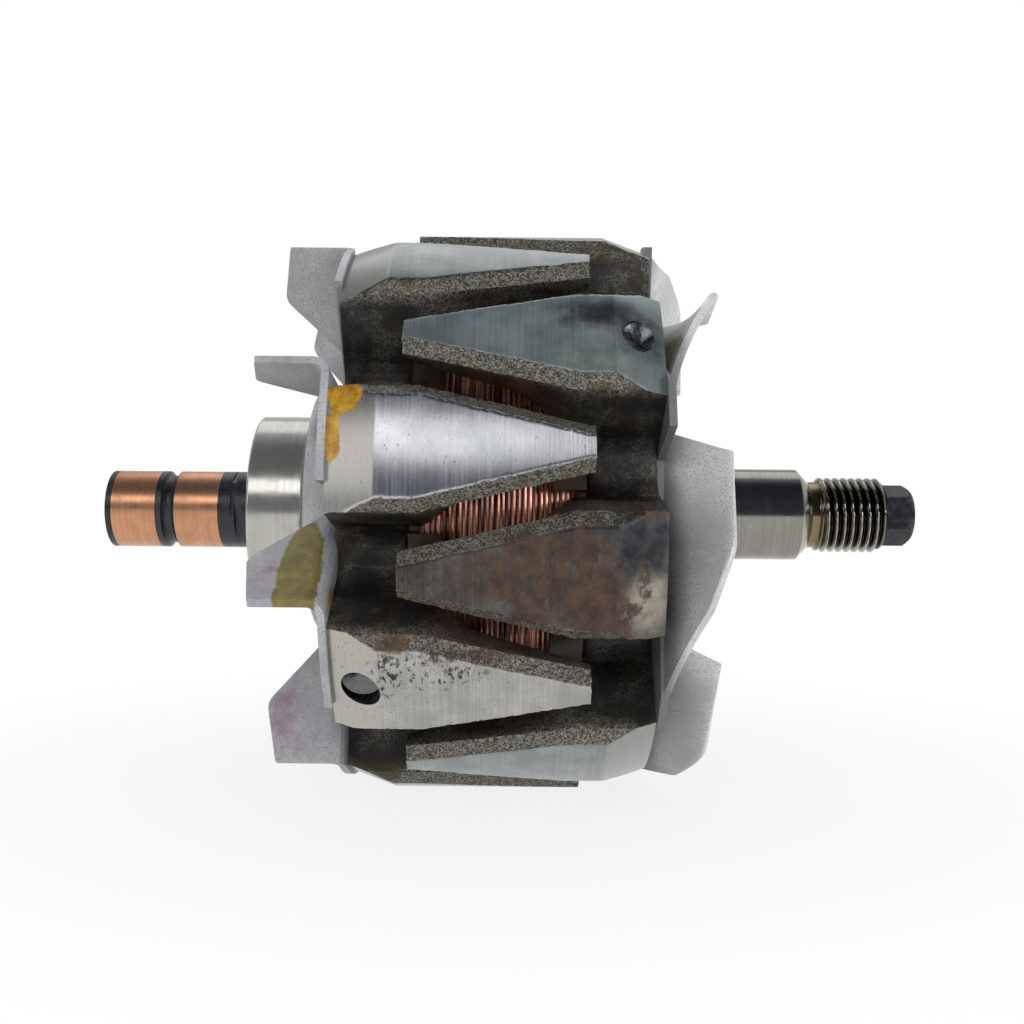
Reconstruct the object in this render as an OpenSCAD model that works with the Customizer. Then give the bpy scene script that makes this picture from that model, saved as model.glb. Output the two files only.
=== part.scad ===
// Alternator rotor: two forged claw-pole halves clamp a field winding on a stepped shaft.
// Stamped fans cover both ends, and a ball bearing and two slip rings sit on the rear end.
// X runs along the shaft towards the drive end. The origin is at half the overall length.
// Angles around the shaft are counted from -Y towards -Z.

/* [Pole cores] */
// Radius of the turned outer face of the claws
claw_face_r = 50.5; // [49:0.1:53]
// Claws on each pole core
claw_count = 8; // [8]
// Length over both pole cores
pole_len = 51.3; // [50:0.1:56]
// Thickness of the web that carries the claws
web_t = 11.8; // [10:0.1:12.5]
// Length of a claw from the outer face of its web to its tip
claw_len = 40.3; // [36:0.1:42]
// Width of the turned face at the claw's root
claw_root_w = 15.8; // [14:0.1:16.6]
// Width of the turned face at the claw's tip
claw_tip_w = 3.2; // [2:0.1:6]
// Distance from the outer face of the web to the start of the claw's taper
claw_taper_start = 13.7; // [12.5:0.1:18]
// Width of the forged bevel along each edge of a claw
claw_bevel_w = 1.9; // [1:0.1:2.1]
// Depth of the forged bevel along each edge of a claw
claw_bevel_d = 2.0; // [1:0.1:3]
// Length of the turned chamfer at the claw's root
root_chamfer_len = 7.8; // [5:0.1:9]
// Radial drop of the turned chamfer at the claw's root
root_chamfer_drop = 2.8; // [1:0.1:4]
// Radius of the rounded valleys between the claws
valley_r = 5.2; // [4.6:0.1:5.8]
// Depth of a claw from its turned face to its underside, next to its web
claw_root_depth = 12.1; // [11:0.1:12.5]
// Depth of a claw from its turned face to its underside, at its tip
claw_tip_depth = 4.5; // [3.5:0.1:6]
// Straight length of the claw's underside next to its web
claw_under_flat = 2; // [0.5:0.1:4]
// Angle of the first rear claw
rear_claw_angle = -14.75; // [-20:0.25:0]
// Diameter of the drilled balance holes
balance_hole_d = 6.3; // [4:0.1:8]
// Distance from the web's outer face to the front balance hole
front_balance_at = 3.6; // [3.2:0.1:6]
// Depth of the front balance hole's straight wall below the claw face
front_balance_depth = 1.6; // [1:0.1:6]
// Distance from the web's outer face to the rear balance hole
rear_balance_at = 4.9; // [3.2:0.1:7]
// Depth of the rear balance hole's straight wall below the claw face
rear_balance_depth = 3.4; // [1:0.1:8]

/* [Coil] */
// Radius of the iron core inside the coil
yoke_r = 22; // [20:0.1:24]
// Radial gap between the winding and the undersides of the claws
winding_gap = 1.4; // [1:0.1:4]
// Wall of the bobbin's tube
bobbin_wall = 1.2; // [0.8:0.1:2]
// Thickness of the bobbin's flanges
bobbin_flange_t = 0.9; // [0.6:0.1:1.5]
// Step from the winding up to the flange's rim
bobbin_lip = 0.3; // [0.1:0.1:0.8]
// Thickness of the insulating petals
petal_t = 0.6; // [0.4:0.1:1]
// Height of the folded petals above the winding
petal_rise = 2.4; // [1.4:0.1:3]
// Width of one folded petal
petal_w = 8.4; // [5:0.1:9]
// Axial length of one folded petal
petal_len = 5.2; // [3:0.1:8]

/* [Fans] */
// Thickness of the fans' sheet
fan_t = 1.2; // [1:0.1:1.6]
// Inner radius of the tight bends
fan_bend_r = 1.6; // [1:0.1:2.4]
// Outer radius of the rear fan
rear_fan_r = 48.5; // [46:0.1:49.5]
// Blades on the rear fan
rear_blade_count = 8; // [8]
// Angle of the outer end of a rear blade ahead of its claw's middle
rear_blade_lead = 17.75; // [14:0.25:20]
// Angle of the rear lobe's free edge behind its claw's middle
rear_lobe_trail = 6; // [3:0.25:10]
// Radius of the rear fan's plate between the lobes
rear_plate_r = 30; // [28:0.1:32]
// Lap of a rear blade's foot over the edge of the plate
rear_foot_lap = 1.9; // [1:0.1:3]
// Length of a rear blade's free edge
rear_blade_tip = 9.8; // [7:0.1:13]
// Height of a rear blade at its outer corner
rear_blade_outer_h = 10.3; // [8:0.1:12]
// Height of a rear blade at its inner corner
rear_blade_inner_h = 12.2; // [9:0.1:14]
// Slant of a rear blade's foot away from the radial direction
rear_blade_slant = 19.5; // [10:0.5:26]
// Corner radius at a rear blade's outer corner
rear_outer_corner = 2; // [0.5:0.1:3]
// Corner radius at a rear blade's inner corner
rear_inner_corner = 3; // [0.5:0.1:4]
// Radius of the rear fan's drawn cup
cup_r = 23.5; // [21:0.1:25]
// Height of the cup above the pole core
cup_h = 7.95; // [6:0.05:10]
// Outer edge radius of the cup
cup_edge_r = 2.7; // [1.6:0.1:3.5]
// Outer radius of the front fan
front_fan_r = 49; // [46:0.1:50]
// Blades on the front fan
front_blade_count = 6; // [6]
// Angle of the first front blade's outer corner
front_blade_angle = 7.5; // [0:0.5:20]
// Radius of the front fan's plate between the lobes
front_plate_r = 32; // [30:0.1:33]
// Radius at the inner end of a front blade's foot
front_foot_r = 32.8; // [31:0.1:35]
// Angle from a front blade's outer corner back to the inner end of its foot
front_foot_back = 35.7; // [30:0.1:38]
// Angle from a front blade's outer corner on to the outer end of its foot
front_foot_ahead = 25.8; // [20:0.1:28]
// Angle of flat plate past the outer end of the foot
front_lobe_trail = 6; // [3:0.5:8]
// Radius at the inner corner of a front blade's free edge
front_tip_r = 36; // [34:0.1:40]
// Angle from a front blade's outer corner back to its inner corner
front_tip_back = 26.7; // [20:0.1:30]
// Height of a front blade at its inner corner
front_blade_inner_h = 11; // [8:0.1:13]
// Height of a front blade at its outer corner
front_blade_outer_h = 9.2; // [7:0.1:12]

/* [Rear bearing] */
// Bore of the bearing
bearing_bore_d = 17; // [15:1:17]
// Outside diameter of the bearing
bearing_od = 35; // [34:1:40]
// Width of the bearing
bearing_w = 10; // [9:0.5:12]
// Diameter of the balls
ball_d = 4.76; // [4.2:0.02:5]
// Number of balls
ball_count = 10; // [8:1:10]
// Radial step from the ball circle to the rings' shoulders
shoulder_step = 1.65; // [1.4:0.05:1.8]
// Edge radius of the rings
ring_edge_r = 0.6; // [0.3:0.1:1]
// Thickness of the seals
seal_t = 0.8; // [0.6:0.1:1]
// Depth of the seals' outer faces below the rings' faces
seal_inset = 0.3; // [0.2:0.1:0.6]
// Seat of the seals in the outer ring
seal_seat = 0.6; // [0.4:0.1:0.8]
// Half width of the ball cage
cage_half_w = 3; // [2.8:0.1:3.2]
// Wall of the ball cage
cage_wall = 1.4; // [1:0.1:1.8]
// Gap between the bearing and the fan's cup
bearing_gap = 0.6; // [0.4:0.1:2]

/* [Slip rings] */
// Outside diameter of the slip rings
slip_ring_d = 14.2; // [13:0.1:16]
// Width of a slip ring
slip_ring_w = 8; // [6:0.1:10]
// Wall of a slip ring
slip_ring_t = 1.2; // [0.8:0.1:1.6]
// Length of the moulding's end lip
end_lip = 1.1; // [0.6:0.1:3]
// Length of the moulding between the rings
ring_spacing = 3.5; // [2.5:0.1:6]
// Depth of the groove between the rings
groove_depth = 0.8; // [0.3:0.1:1]
// Land between the outer ring and the groove
groove_land = 1; // [0.5:0.1:1.4]
// Length of the moulding between the inner ring and the bearing
moulding_base = 7.4; // [5.5:0.1:12]
// Angle of the first lead window in the moulding
window_angle = 11; // [0:0.5:45]
// Width of the lead windows
window_w = 1.4; // [0.8:0.1:2]
// Depth of the lead windows
window_depth = 1; // [0.5:0.1:1.5]
// Depth of the shallow slots beside the lead windows
slot_depth = 0.35; // [0.2:0.05:0.6]

/* [Shaft] */
// Diameter where the pole cores sit
pole_seat_d = 18; // [18:0.1:19]
// Diameter of the locating collar behind the rear pole core
collar_d = 21.6; // [21:0.1:22]
// Diameter of the drive-end journal
journal_d = 17; // [15:0.5:17]
// Length of the journal in front of the spacer
journal_len = 21.95; // [16:0.05:32]
// Length of the journal's end chamfer
journal_chamfer_len = 2.3; // [1:0.1:3]
// Diameter of the relief neck behind the thread
neck_d = 12.4; // [11:0.1:13]
// Length of the relief neck
neck_len = 1.3; // [0.8:0.1:2.5]
// Outside diameter of the pulley thread
thread_d = 14; // [13.5:0.1:14.5]
// Length of the pulley thread
thread_len = 12.5; // [9:0.1:16]
// Chamfer at both ends of the thread
thread_chamfer = 0.8; // [0.4:0.1:1.2]
// Width across the flats of the holding hexagon
hex_af = 10; // [9:0.1:11]
// Length of the holding hexagon
hex_len = 5.4; // [4:0.1:9]
// Chamfer on the end of the hexagon
hex_chamfer = 1; // [0.5:0.1:1.4]
// Angle of the hexagon's first corner
hex_angle = 21.5; // [0:0.5:59.5]
// Diameter of the shaft inside the slip-ring moulding
stub_d = 8; // [6:0.1:9]
// Moulding left over the end of the shaft
stub_cover = 2.5; // [1.5:0.1:5]
// Length of the spacer in front of the front fan
spacer_len = 6.5; // [4:0.1:9]
// Outside diameter of the spacer
spacer_d = 25; // [21:0.1:30]

/* [Fits] */
// Radial gap between fitted round pieces
fit_gap = 0.02; // [0.01:0.01:0.05]
// Running clearance inside the bearing
run_gap = 0.12; // [0.05:0.01:0.2]
// Clearance of the fan's cup around the collar
cup_gap = 0.3; // [0.1:0.05:0.6]

/* [Hidden] */
$fn = 96;

// Stations along the shaft
moulding_len = end_lip + 2 * slip_ring_w + ring_spacing + moulding_base;
rear_reach = pole_len / 2 + cup_h + bearing_gap + bearing_w + moulding_len;
front_reach = pole_len / 2 + fan_t + spacer_len + journal_len + journal_chamfer_len + neck_len
    + thread_len + hex_len;
pole_mid_x = (rear_reach - front_reach) / 2;
rear_face_x = pole_mid_x - pole_len / 2;
front_face_x = pole_mid_x + pole_len / 2;
bearing_front_x = rear_face_x - cup_h - bearing_gap;
bearing_mid_x = bearing_front_x - bearing_w / 2;
bearing_rear_x = bearing_front_x - bearing_w;
rear_end_x = -(rear_reach + front_reach) / 2;
front_end_x = -rear_end_x;
outer_ring_x = rear_end_x + end_lip;
groove_x = outer_ring_x + slip_ring_w;
inner_ring_x = groove_x + ring_spacing;
base_x = inner_ring_x + slip_ring_w;
spacer_x = front_face_x + fan_t;
journal_x = spacer_x + spacer_len;
journal_end_x = journal_x + journal_len;
neck_x = journal_end_x + journal_chamfer_len;
thread_x = neck_x + neck_len;
hex_x = thread_x + thread_len;

// Claw section
claw_pitch = 360 / claw_count;
front_claw_angle = rear_claw_angle + claw_pitch / 2;
face_half_w = claw_root_w / 2;
body_half_w = face_half_w + claw_bevel_w;
root_edge_h = sqrt(pow(claw_face_r, 2) - pow(face_half_w, 2));
taper_edge_h = (root_edge_h + claw_face_r) / 2;
taper_angle = atan((claw_root_w - claw_tip_w) / 2 / (claw_len - claw_taper_start));
valley_apex_r = body_half_w / sin(claw_pitch / 2);
valley_centre_r = (body_half_w + valley_r) / sin(claw_pitch / 2);
valley_relief = 0.05;
claw_under_root_r = claw_face_r - claw_root_depth;
claw_under_tip_r = claw_face_r - claw_tip_depth;
drill_point_angle = 31;
drill_flat_d = 0.4;

// Coil section
coil_half_len = pole_len / 2 - web_t;
bobbin_half_len = coil_half_len - petal_t;
bobbin_bore_r = yoke_r + fit_gap;
bobbin_tube_r = bobbin_bore_r + bobbin_wall;
winding_r = claw_under_root_r - winding_gap;
flange_r = winding_r + bobbin_lip;
petal_r = winding_r + petal_rise;

// Rear fan section
rear_blade_foot = (rear_fan_r - rear_plate_r + rear_foot_lap) / cos(rear_blade_slant);

// Bearing section
bearing_bore_r = bearing_bore_d / 2 + fit_gap;
bearing_r = bearing_od / 2;
ball_circle_r = (bearing_bore_d + bearing_od) / 4;
race_r = ball_d / 2 + run_gap / 2;
inner_shoulder_r = ball_circle_r - shoulder_step;
outer_shoulder_r = ball_circle_r + shoulder_step;
seal_seat_r = outer_shoulder_r + seal_seat;

// Slip-ring section
slip_ring_r = slip_ring_d / 2;
ring_seat_r = slip_ring_r - slip_ring_t - fit_gap;
slot_angles = [-9, -65.5];

// How far cuts and lapped shapes reach past a face
over = 1;
eps = 0.01;

function polar(r, a) = [r * cos(a), r * sin(a)];
function lerp(a, b, t) = a + (b - a) * t;
function unit(v) = v / norm(v);

// Replaces each corner of an outline by a short arc of the given radius
function rounded(points, radii, steps = 6) = [
    for (i = [0 : len(points) - 1])
        let (
            p = points[i],
            to_last = unit(points[(i + len(points) - 1) % len(points)] - p),
            to_next = unit(points[(i + 1) % len(points)] - p),
            half = acos(to_last * to_next) / 2,
            reach = radii[i] / tan(half),
            centre = p + unit(to_last + to_next) * radii[i] / sin(half),
            first = p + to_last * reach - centre,
            last = p + to_next * reach - centre
        )
        if (radii[i] == 0) p
        else each [
            for (k = [0 : steps])
                centre + radii[i] * unit(lerp(first, last, k / steps))
        ]
];

// Turns a profile of radius and station about the shaft
module revolve() {
    rotate([0, 90, 0]) rotate_extrude() children();
}

// Extrudes a cross-section along the shaft
module along_shaft(from, length) {
    translate([from, 0, 0]) rotate([90, 0, 90]) linear_extrude(length) children();
}

// Places a shape drawn with its radius along +Y at an angle around the shaft
module spoke(angle) {
    rotate([angle + 180, 0, 0]) children();
}

// Places a cross-section drawn with its radius along +X at an angle around the shaft
module spoke_2d(angle) {
    rotate(angle + 180) children();
}

module tube(from, length, inner, outer) {
    revolve() translate([inner, from]) square([outer - inner, length]);
}

// One rounded valley between two claws, drawn along +X
module valley_outline() {
    wall = polar(1, claw_pitch / 2);
    normal = polar(1, claw_pitch / 2 - 90);
    low = [valley_centre_r, 0] - normal * valley_r;
    shoulder = wall * (root_edge_h - claw_bevel_d) + normal * body_half_w;
    flare = wall * (root_edge_h + claw_bevel_d) + normal * (face_half_w - claw_bevel_w);
    past = wall * 2 * claw_face_r + normal * (face_half_w - claw_bevel_w);
    translate([valley_centre_r, 0]) circle(valley_r + valley_relief);
    polygon([
        [low[0], -low[1]], low, shoulder, flare, past,
        [past[0], -past[1]], [flare[0], -flare[1]], [shoulder[0], -shoulder[1]]
    ]);
}

// What is cut away beside one edge of a claw to taper it, with its bevel
module taper_cut() {
    reach = claw_bevel_w + claw_root_w / 2;
    translate([claw_taper_start, 0, face_half_w]) rotate([0, taper_angle, 0])
        along_shaft(-claw_bevel_w, 2 * claw_len)
            polygon([
                [valley_apex_r, claw_bevel_w],
                [taper_edge_h - claw_bevel_d, claw_bevel_w],
                [taper_edge_h + claw_bevel_d, -claw_bevel_w],
                [taper_edge_h + claw_bevel_d, reach],
                [valley_apex_r, reach]
            ]);
}

// Turned blank of one core: the web, the chamfered rim and the ring that becomes the claws
module pole_blank() {
    revolve()
        polygon([
            [pole_seat_d / 2 + fit_gap, 0], [claw_face_r - root_chamfer_drop, 0],
            [claw_face_r, root_chamfer_len], [claw_face_r, claw_len],
            [claw_under_tip_r, claw_len], [claw_under_root_r, web_t + claw_under_flat],
            [claw_under_root_r, web_t], [pole_seat_d / 2 + fit_gap, web_t]
        ]);
}

// A blind hole drilled into a claw to balance the rotor
module balance_hole(at, depth) {
    point_len = balance_hole_d / 2 * tan(drill_point_angle);
    translate([at, claw_face_r, 0]) rotate([90, 0, 0]) {
        translate([0, 0, -depth]) cylinder(h = 2 * depth, d = balance_hole_d);
        translate([0, 0, depth - eps]) cylinder(h = point_len, d1 = balance_hole_d, d2 = drill_flat_d);
    }
}

module pole_core(first_angle, hole_angle, hole_at, hole_depth) {
    difference() {
        pole_blank();
        for (i = [0 : claw_count - 1]) {
            along_shaft(-over, claw_len + 2 * over)
                spoke_2d(first_angle + (i + 0.5) * claw_pitch) valley_outline();
            spoke(first_angle + i * claw_pitch) {
                taper_cut();
                mirror([0, 0, 1]) taper_cut();
            }
        }
        spoke(hole_angle) balance_hole(hole_at, hole_depth);
    }
}

module rear_pole_core() {
    color("darkgray")
        translate([rear_face_x, 0, 0])
            pole_core(rear_claw_angle, rear_claw_angle + claw_pitch, rear_balance_at,
                rear_balance_depth);
}

module front_pole_core() {
    color("darkgray")
        translate([front_face_x, 0, 0]) mirror([1, 0, 0])
            pole_core(front_claw_angle, front_claw_angle - claw_pitch, front_balance_at,
                front_balance_depth);
}

module core_yoke() {
    color("dimgray")
        tube(pole_mid_x - coil_half_len, 2 * coil_half_len, pole_seat_d / 2 + fit_gap, yoke_r);
}

module field_winding() {
    half_len = bobbin_half_len - bobbin_flange_t;
    color("sienna") tube(pole_mid_x - half_len, 2 * half_len, bobbin_tube_r + fit_gap, winding_r);
}

module coil_bobbin() {
    color("black")
        difference() {
            tube(pole_mid_x - bobbin_half_len, 2 * bobbin_half_len, bobbin_bore_r, flange_r);
            tube(pole_mid_x - bobbin_half_len + bobbin_flange_t,
                2 * (bobbin_half_len - bobbin_flange_t), bobbin_tube_r, flange_r + over);
        }
}

// An insulating washer whose petals fold over the winding, between the claws of one core
module coil_petals(first_angle) {
    tube(0, petal_t, bobbin_bore_r, flange_r);
    for (i = [0 : claw_count - 1])
        intersection() {
            union() {
                tube(0, petal_t, flange_r - petal_t, petal_r);
                tube(0, petal_len, petal_r - petal_t, petal_r);
            }
            spoke(first_angle + i * claw_pitch)
                translate([-eps, 0, -petal_w / 2]) cube([petal_len + over, petal_r + over, petal_w]);
        }
}

module rear_coil_petals() {
    color("saddlebrown")
        translate([pole_mid_x - coil_half_len, 0, 0]) coil_petals(front_claw_angle);
}

module front_coil_petals() {
    color("saddlebrown")
        translate([pole_mid_x + coil_half_len, 0, 0]) mirror([1, 0, 0]) coil_petals(rear_claw_angle);
}

// The rear fan's drawn cup, a sheet with a rounded outer edge
module drawn_cup() {
    hole_r = collar_d / 2 + cup_gap;
    revolve()
        polygon(rounded(
            [
                [hole_r, cup_h], [cup_r, cup_h], [cup_r, 0], [cup_r - fan_t, 0],
                [cup_r - fan_t, cup_h - fan_t], [hole_r, cup_h - fan_t]
            ],
            [0, cup_edge_r, 0, 0, cup_edge_r - fan_t, 0]
        ));
}

// One lobe of the rear fan with its upright blade, drawn with the blade's rim end on +Y
module rear_blade() {
    bend = fan_t + fan_bend_r;
    past_rim = 2 * bend;
    height = fan_t + rear_blade_inner_h;
    trail = rear_blade_lead + rear_lobe_trail;
    section = rounded(
        [[0, rear_fan_r], [0, 0], [height, 0], [height, fan_t], [fan_t, fan_t], [fan_t, rear_fan_r]],
        [0, bend, 0, 0, fan_bend_r, 0]
    );
    outline = rounded(
        [
            [-over, past_rim], [bend, past_rim], [fan_t + rear_blade_outer_h, bend / 4],
            [height, -rear_blade_tip], [bend, -rear_blade_foot], [-over, -rear_blade_foot]
        ],
        [0, 0, rear_outer_corner, rear_inner_corner, 0, 0]
    );
    intersection() {
        translate([0, rear_fan_r, 0]) rotate([rear_blade_slant, 0, 0])
            intersection() {
                translate([0, past_rim + over, 0]) rotate([90, 0, 0])
                    linear_extrude(rear_blade_foot + past_rim + 2 * over) polygon(section);
                translate([0, 0, -over]) linear_extrude(rear_fan_r + 2 * over) polygon(outline);
            }
        along_shaft(-over, height + 2 * over)
            polygon([[0, 0], polar(2 * rear_fan_r, trail - 90), polar(2 * rear_fan_r, trail)]);
    }
}

module rear_fan() {
    first = rear_claw_angle - rear_blade_lead;
    color("silver")
        translate([rear_face_x, 0, 0]) mirror([1, 0, 0]) {
            along_shaft(0, fan_t)
                difference() {
                    circle(rear_plate_r);
                    circle(cup_r - fan_t / 2);
                }
            drawn_cup();
            intersection() {
                for (i = [0 : rear_blade_count - 1])
                    spoke(first + i * 360 / rear_blade_count) rear_blade();
                tube(-over, fan_t + rear_blade_inner_h + 2 * over, cup_r, rear_fan_r);
            }
        }
}

// Middle of a front blade's sheet: t runs along its foot, s from the foot to the free edge
front_foot = [polar(front_foot_r, -front_foot_back), polar(front_fan_r, front_foot_ahead)];
front_tip = [polar(front_tip_r, -front_tip_back), polar(front_fan_r, 0)];
front_bend_share = 0.45;
front_bend_lift = 0.25;
front_corner_start = 0.72;
front_corner_cut = 0.24;
blade_rows = 8;
blade_columns = 6;
blade_half_t = fan_t / 2 - 2 * fit_gap;

function front_reach_at(t) =
    1 - front_corner_cut * pow(max(0, (t - front_corner_start) / (1 - front_corner_start)), 2);
function front_mid(t, s) =
    let (
        root = lerp(front_foot[0], front_foot[1], t),
        tip = lerp(front_tip[0], front_tip[1], t),
        bend = lerp(root, tip, front_bend_share),
        at = lerp(lerp(root, bend, s), lerp(bend, tip, s), s),
        height = lerp(front_blade_inner_h, front_blade_outer_h, t),
        rise = height * (2 * s * (1 - s) * front_bend_lift + s * s)
    )
    [fan_t / 2 + rise, at[0], at[1]];
function front_normal(t, s) =
    let (step = 0.01)
    unit(cross(front_mid(t + step, s) - front_mid(t - step, s),
        front_mid(t, s + step) - front_mid(t, s - step)));
function front_skin(side) = [
    for (i = [0 : blade_rows], j = [0 : blade_columns])
        let (t = i / blade_rows, s = j / blade_columns * front_reach_at(t))
        front_mid(t, s) + side * blade_half_t * front_normal(t, s)
];

// One front blade, a sheet that curls up from the plate and leans along the rim
module front_blade() {
    width = blade_columns + 1;
    count = width * (blade_rows + 1);
    rim = concat(
        [for (i = [0 : blade_rows - 1]) i * width],
        [for (j = [0 : blade_columns - 1]) blade_rows * width + j],
        [for (i = [blade_rows : -1 : 1]) i * width + blade_columns],
        [for (j = [blade_columns : -1 : 1]) j]
    );
    cells = [for (i = [0 : blade_rows - 1], j = [0 : blade_columns - 1]) i * width + j];
    polyhedron(
        points = concat(front_skin(1), front_skin(-1)),
        faces = concat(
            [for (c = cells) each [[c, c + 1, c + width], [c + 1, c + width + 1, c + width]]],
            [for (c = cells) each [
                [c + count, c + width + count, c + 1 + count],
                [c + 1 + count, c + width + count, c + width + 1 + count]
            ]],
            [for (k = [0 : len(rim) - 1])
                let (a = rim[k], b = rim[(k + 1) % len(rim)])
                each [[a, b, a + count], [b, b + count, a + count]]]
        )
    );
}

// The flat lobe that carries one front blade, reaching a little under the curl
module front_lobe_outline() {
    trail = front_foot_ahead + front_lobe_trail;
    foot_way = unit(front_foot[1] - front_foot[0]);
    lap = fan_t * [foot_way[1], -foot_way[0]];
    free_inner = polar(front_plate_r - 2 * fan_t, front_foot_ahead / 2);
    free_rim = polar(front_fan_r, trail);
    past_rim = 4 * fan_t;
    intersection() {
        circle(front_fan_r);
        polygon([
            front_foot[0] + lap, front_foot[1] + lap + past_rim * foot_way,
            free_rim + past_rim * unit(free_rim - free_inner), free_inner
        ]);
    }
}

module front_fan() {
    color("silver")
        translate([front_face_x, 0, 0]) {
            along_shaft(0, fan_t)
                difference() {
                    union() {
                        circle(front_plate_r);
                        for (i = [0 : front_blade_count - 1])
                            spoke_2d(front_blade_angle + i * 360 / front_blade_count)
                                front_lobe_outline();
                    }
                    circle(pole_seat_d / 2 + cup_gap);
                }
            for (i = [0 : front_blade_count - 1])
                spoke(front_blade_angle + i * 360 / front_blade_count) front_blade();
        }
}

module front_spacer() {
    color("gray")
        tube(spacer_x, spacer_len, pole_seat_d / 2 + fit_gap, spacer_d / 2);
}

// Section of a bearing ring between two radii, with rounded rim edges and half a ball race
module ring_section(inner, outer, edges) {
    half_w = bearing_w / 2;
    difference() {
        polygon(rounded(
            [[inner, -half_w], [outer, -half_w], [outer, half_w], [inner, half_w]], edges));
        translate([ball_circle_r, 0]) circle(race_r);
    }
}

module bearing_inner_ring() {
    color("lightgray")
        translate([bearing_mid_x, 0, 0]) revolve()
            ring_section(bearing_bore_r, inner_shoulder_r, [ring_edge_r, 0, 0, ring_edge_r]);
}

module bearing_outer_ring() {
    seat_depth = seal_inset + seal_t;
    color("lightgray")
        translate([bearing_mid_x, 0, 0]) revolve()
            difference() {
                ring_section(outer_shoulder_r, bearing_r, [0, ring_edge_r, ring_edge_r, 0]);
                for (side = [0, 1])
                    mirror([0, side])
                        translate([outer_shoulder_r - over, bearing_w / 2 - seat_depth])
                            square([seal_seat_r - outer_shoulder_r + over, seat_depth + over]);
            }
}

module on_ball_circle() {
    for (i = [0 : ball_count - 1])
        spoke(i * 360 / ball_count) translate([0, ball_circle_r, 0]) children();
}

module bearing_balls() {
    color("white") translate([bearing_mid_x, 0, 0]) on_ball_circle() sphere(d = ball_d);
}

module bearing_cage() {
    color("goldenrod")
        translate([bearing_mid_x, 0, 0])
            difference() {
                tube(-cage_half_w, 2 * cage_half_w, ball_circle_r - cage_wall / 2,
                    ball_circle_r + cage_wall / 2);
                on_ball_circle()
                    rotate([90, 0, 0])
                        cylinder(h = 2 * cage_wall, d = ball_d + 2 * run_gap, center = true);
            }
}

module bearing_seal(from) {
    color("dimgray")
        tube(from, seal_t, inner_shoulder_r + run_gap, seal_seat_r - fit_gap);
}

module bearing_rear_seal() {
    bearing_seal(bearing_rear_x + seal_inset);
}

module bearing_front_seal() {
    bearing_seal(bearing_front_x - seal_inset - seal_t);
}

// A slot cut into the moulding's surface where the leads come to the rings
module lead_window(angle, from, width, depth) {
    spoke(angle)
        translate([base_x + from, slip_ring_r - depth, -slip_ring_r])
            cube([width, slip_ring_r, slip_ring_d]);
}

module slip_ring_moulding() {
    groove_r = (ring_spacing - groove_land) / 2;
    slot_w = window_w / 2;
    window_from = (moulding_base - window_w) / 2;
    slot_from = window_from - slot_w;
    color("black")
        difference() {
            revolve()
                difference() {
                    translate([0, rear_end_x]) square([slip_ring_r, moulding_len]);
                    for (x = [outer_ring_x, inner_ring_x])
                        translate([ring_seat_r, x]) square([slip_ring_r, slip_ring_w]);
                    translate([slip_ring_r + groove_r - groove_depth, groove_x + groove_land + groove_r])
                        circle(groove_r);
                    translate([0, rear_end_x + stub_cover])
                        square([stub_d / 2 + fit_gap, moulding_len]);
                }
            for (angle = [window_angle, window_angle + 180])
                lead_window(angle, window_from, window_w, window_depth);
            for (angle = slot_angles)
                lead_window(angle, slot_from, slot_w, slot_depth);
        }
}

module slip_ring(from) {
    color("peru") tube(from, slip_ring_w, slip_ring_r - slip_ring_t, slip_ring_r);
}

module outer_slip_ring() {
    slip_ring(outer_ring_x);
}

module inner_slip_ring() {
    slip_ring(inner_ring_x);
}

module shaft() {
    thread_r = thread_d / 2;
    root_r = thread_r - thread_chamfer;
    hex_r = hex_af / 2 / cos(30);
    color("slategray") {
        revolve()
            polygon([
                [0, rear_end_x + stub_cover], [stub_d / 2, rear_end_x + stub_cover],
                [stub_d / 2, bearing_rear_x], [bearing_bore_d / 2, bearing_rear_x],
                [bearing_bore_d / 2, bearing_front_x], [collar_d / 2, bearing_front_x],
                [collar_d / 2, rear_face_x], [pole_seat_d / 2, rear_face_x],
                [pole_seat_d / 2, journal_x], [journal_d / 2, journal_x],
                [journal_d / 2, journal_end_x], [neck_d / 2, neck_x], [neck_d / 2, thread_x],
                [root_r, thread_x], [thread_r, thread_x + thread_chamfer],
                [thread_r, hex_x - thread_chamfer], [root_r, hex_x], [0, hex_x]
            ]);
        intersection() {
            along_shaft(hex_x - over, hex_len + over) spoke_2d(hex_angle) circle(hex_r, $fn = 6);
            revolve()
                polygon([
                    [0, hex_x - over], [hex_r + over, hex_x - over],
                    [hex_r + over, front_end_x - hex_chamfer - over],
                    [hex_r - hex_chamfer, front_end_x], [0, front_end_x]
                ]);
        }
    }
}

shaft();
rear_pole_core();
front_pole_core();
core_yoke();
field_winding();
coil_bobbin();
rear_coil_petals();
front_coil_petals();
rear_fan();
front_fan();
front_spacer();
bearing_inner_ring();
bearing_outer_ring();
bearing_balls();
bearing_cage();
bearing_rear_seal();
bearing_front_seal();
slip_ring_moulding();
outer_slip_ring();
inner_slip_ring();
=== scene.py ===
"""Looks of the alternator rotor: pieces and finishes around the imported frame."""
import math
from collections import namedtuple

import bmesh
import bpy
import numpy as np
from mathutils import Matrix, Vector, noise


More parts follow.
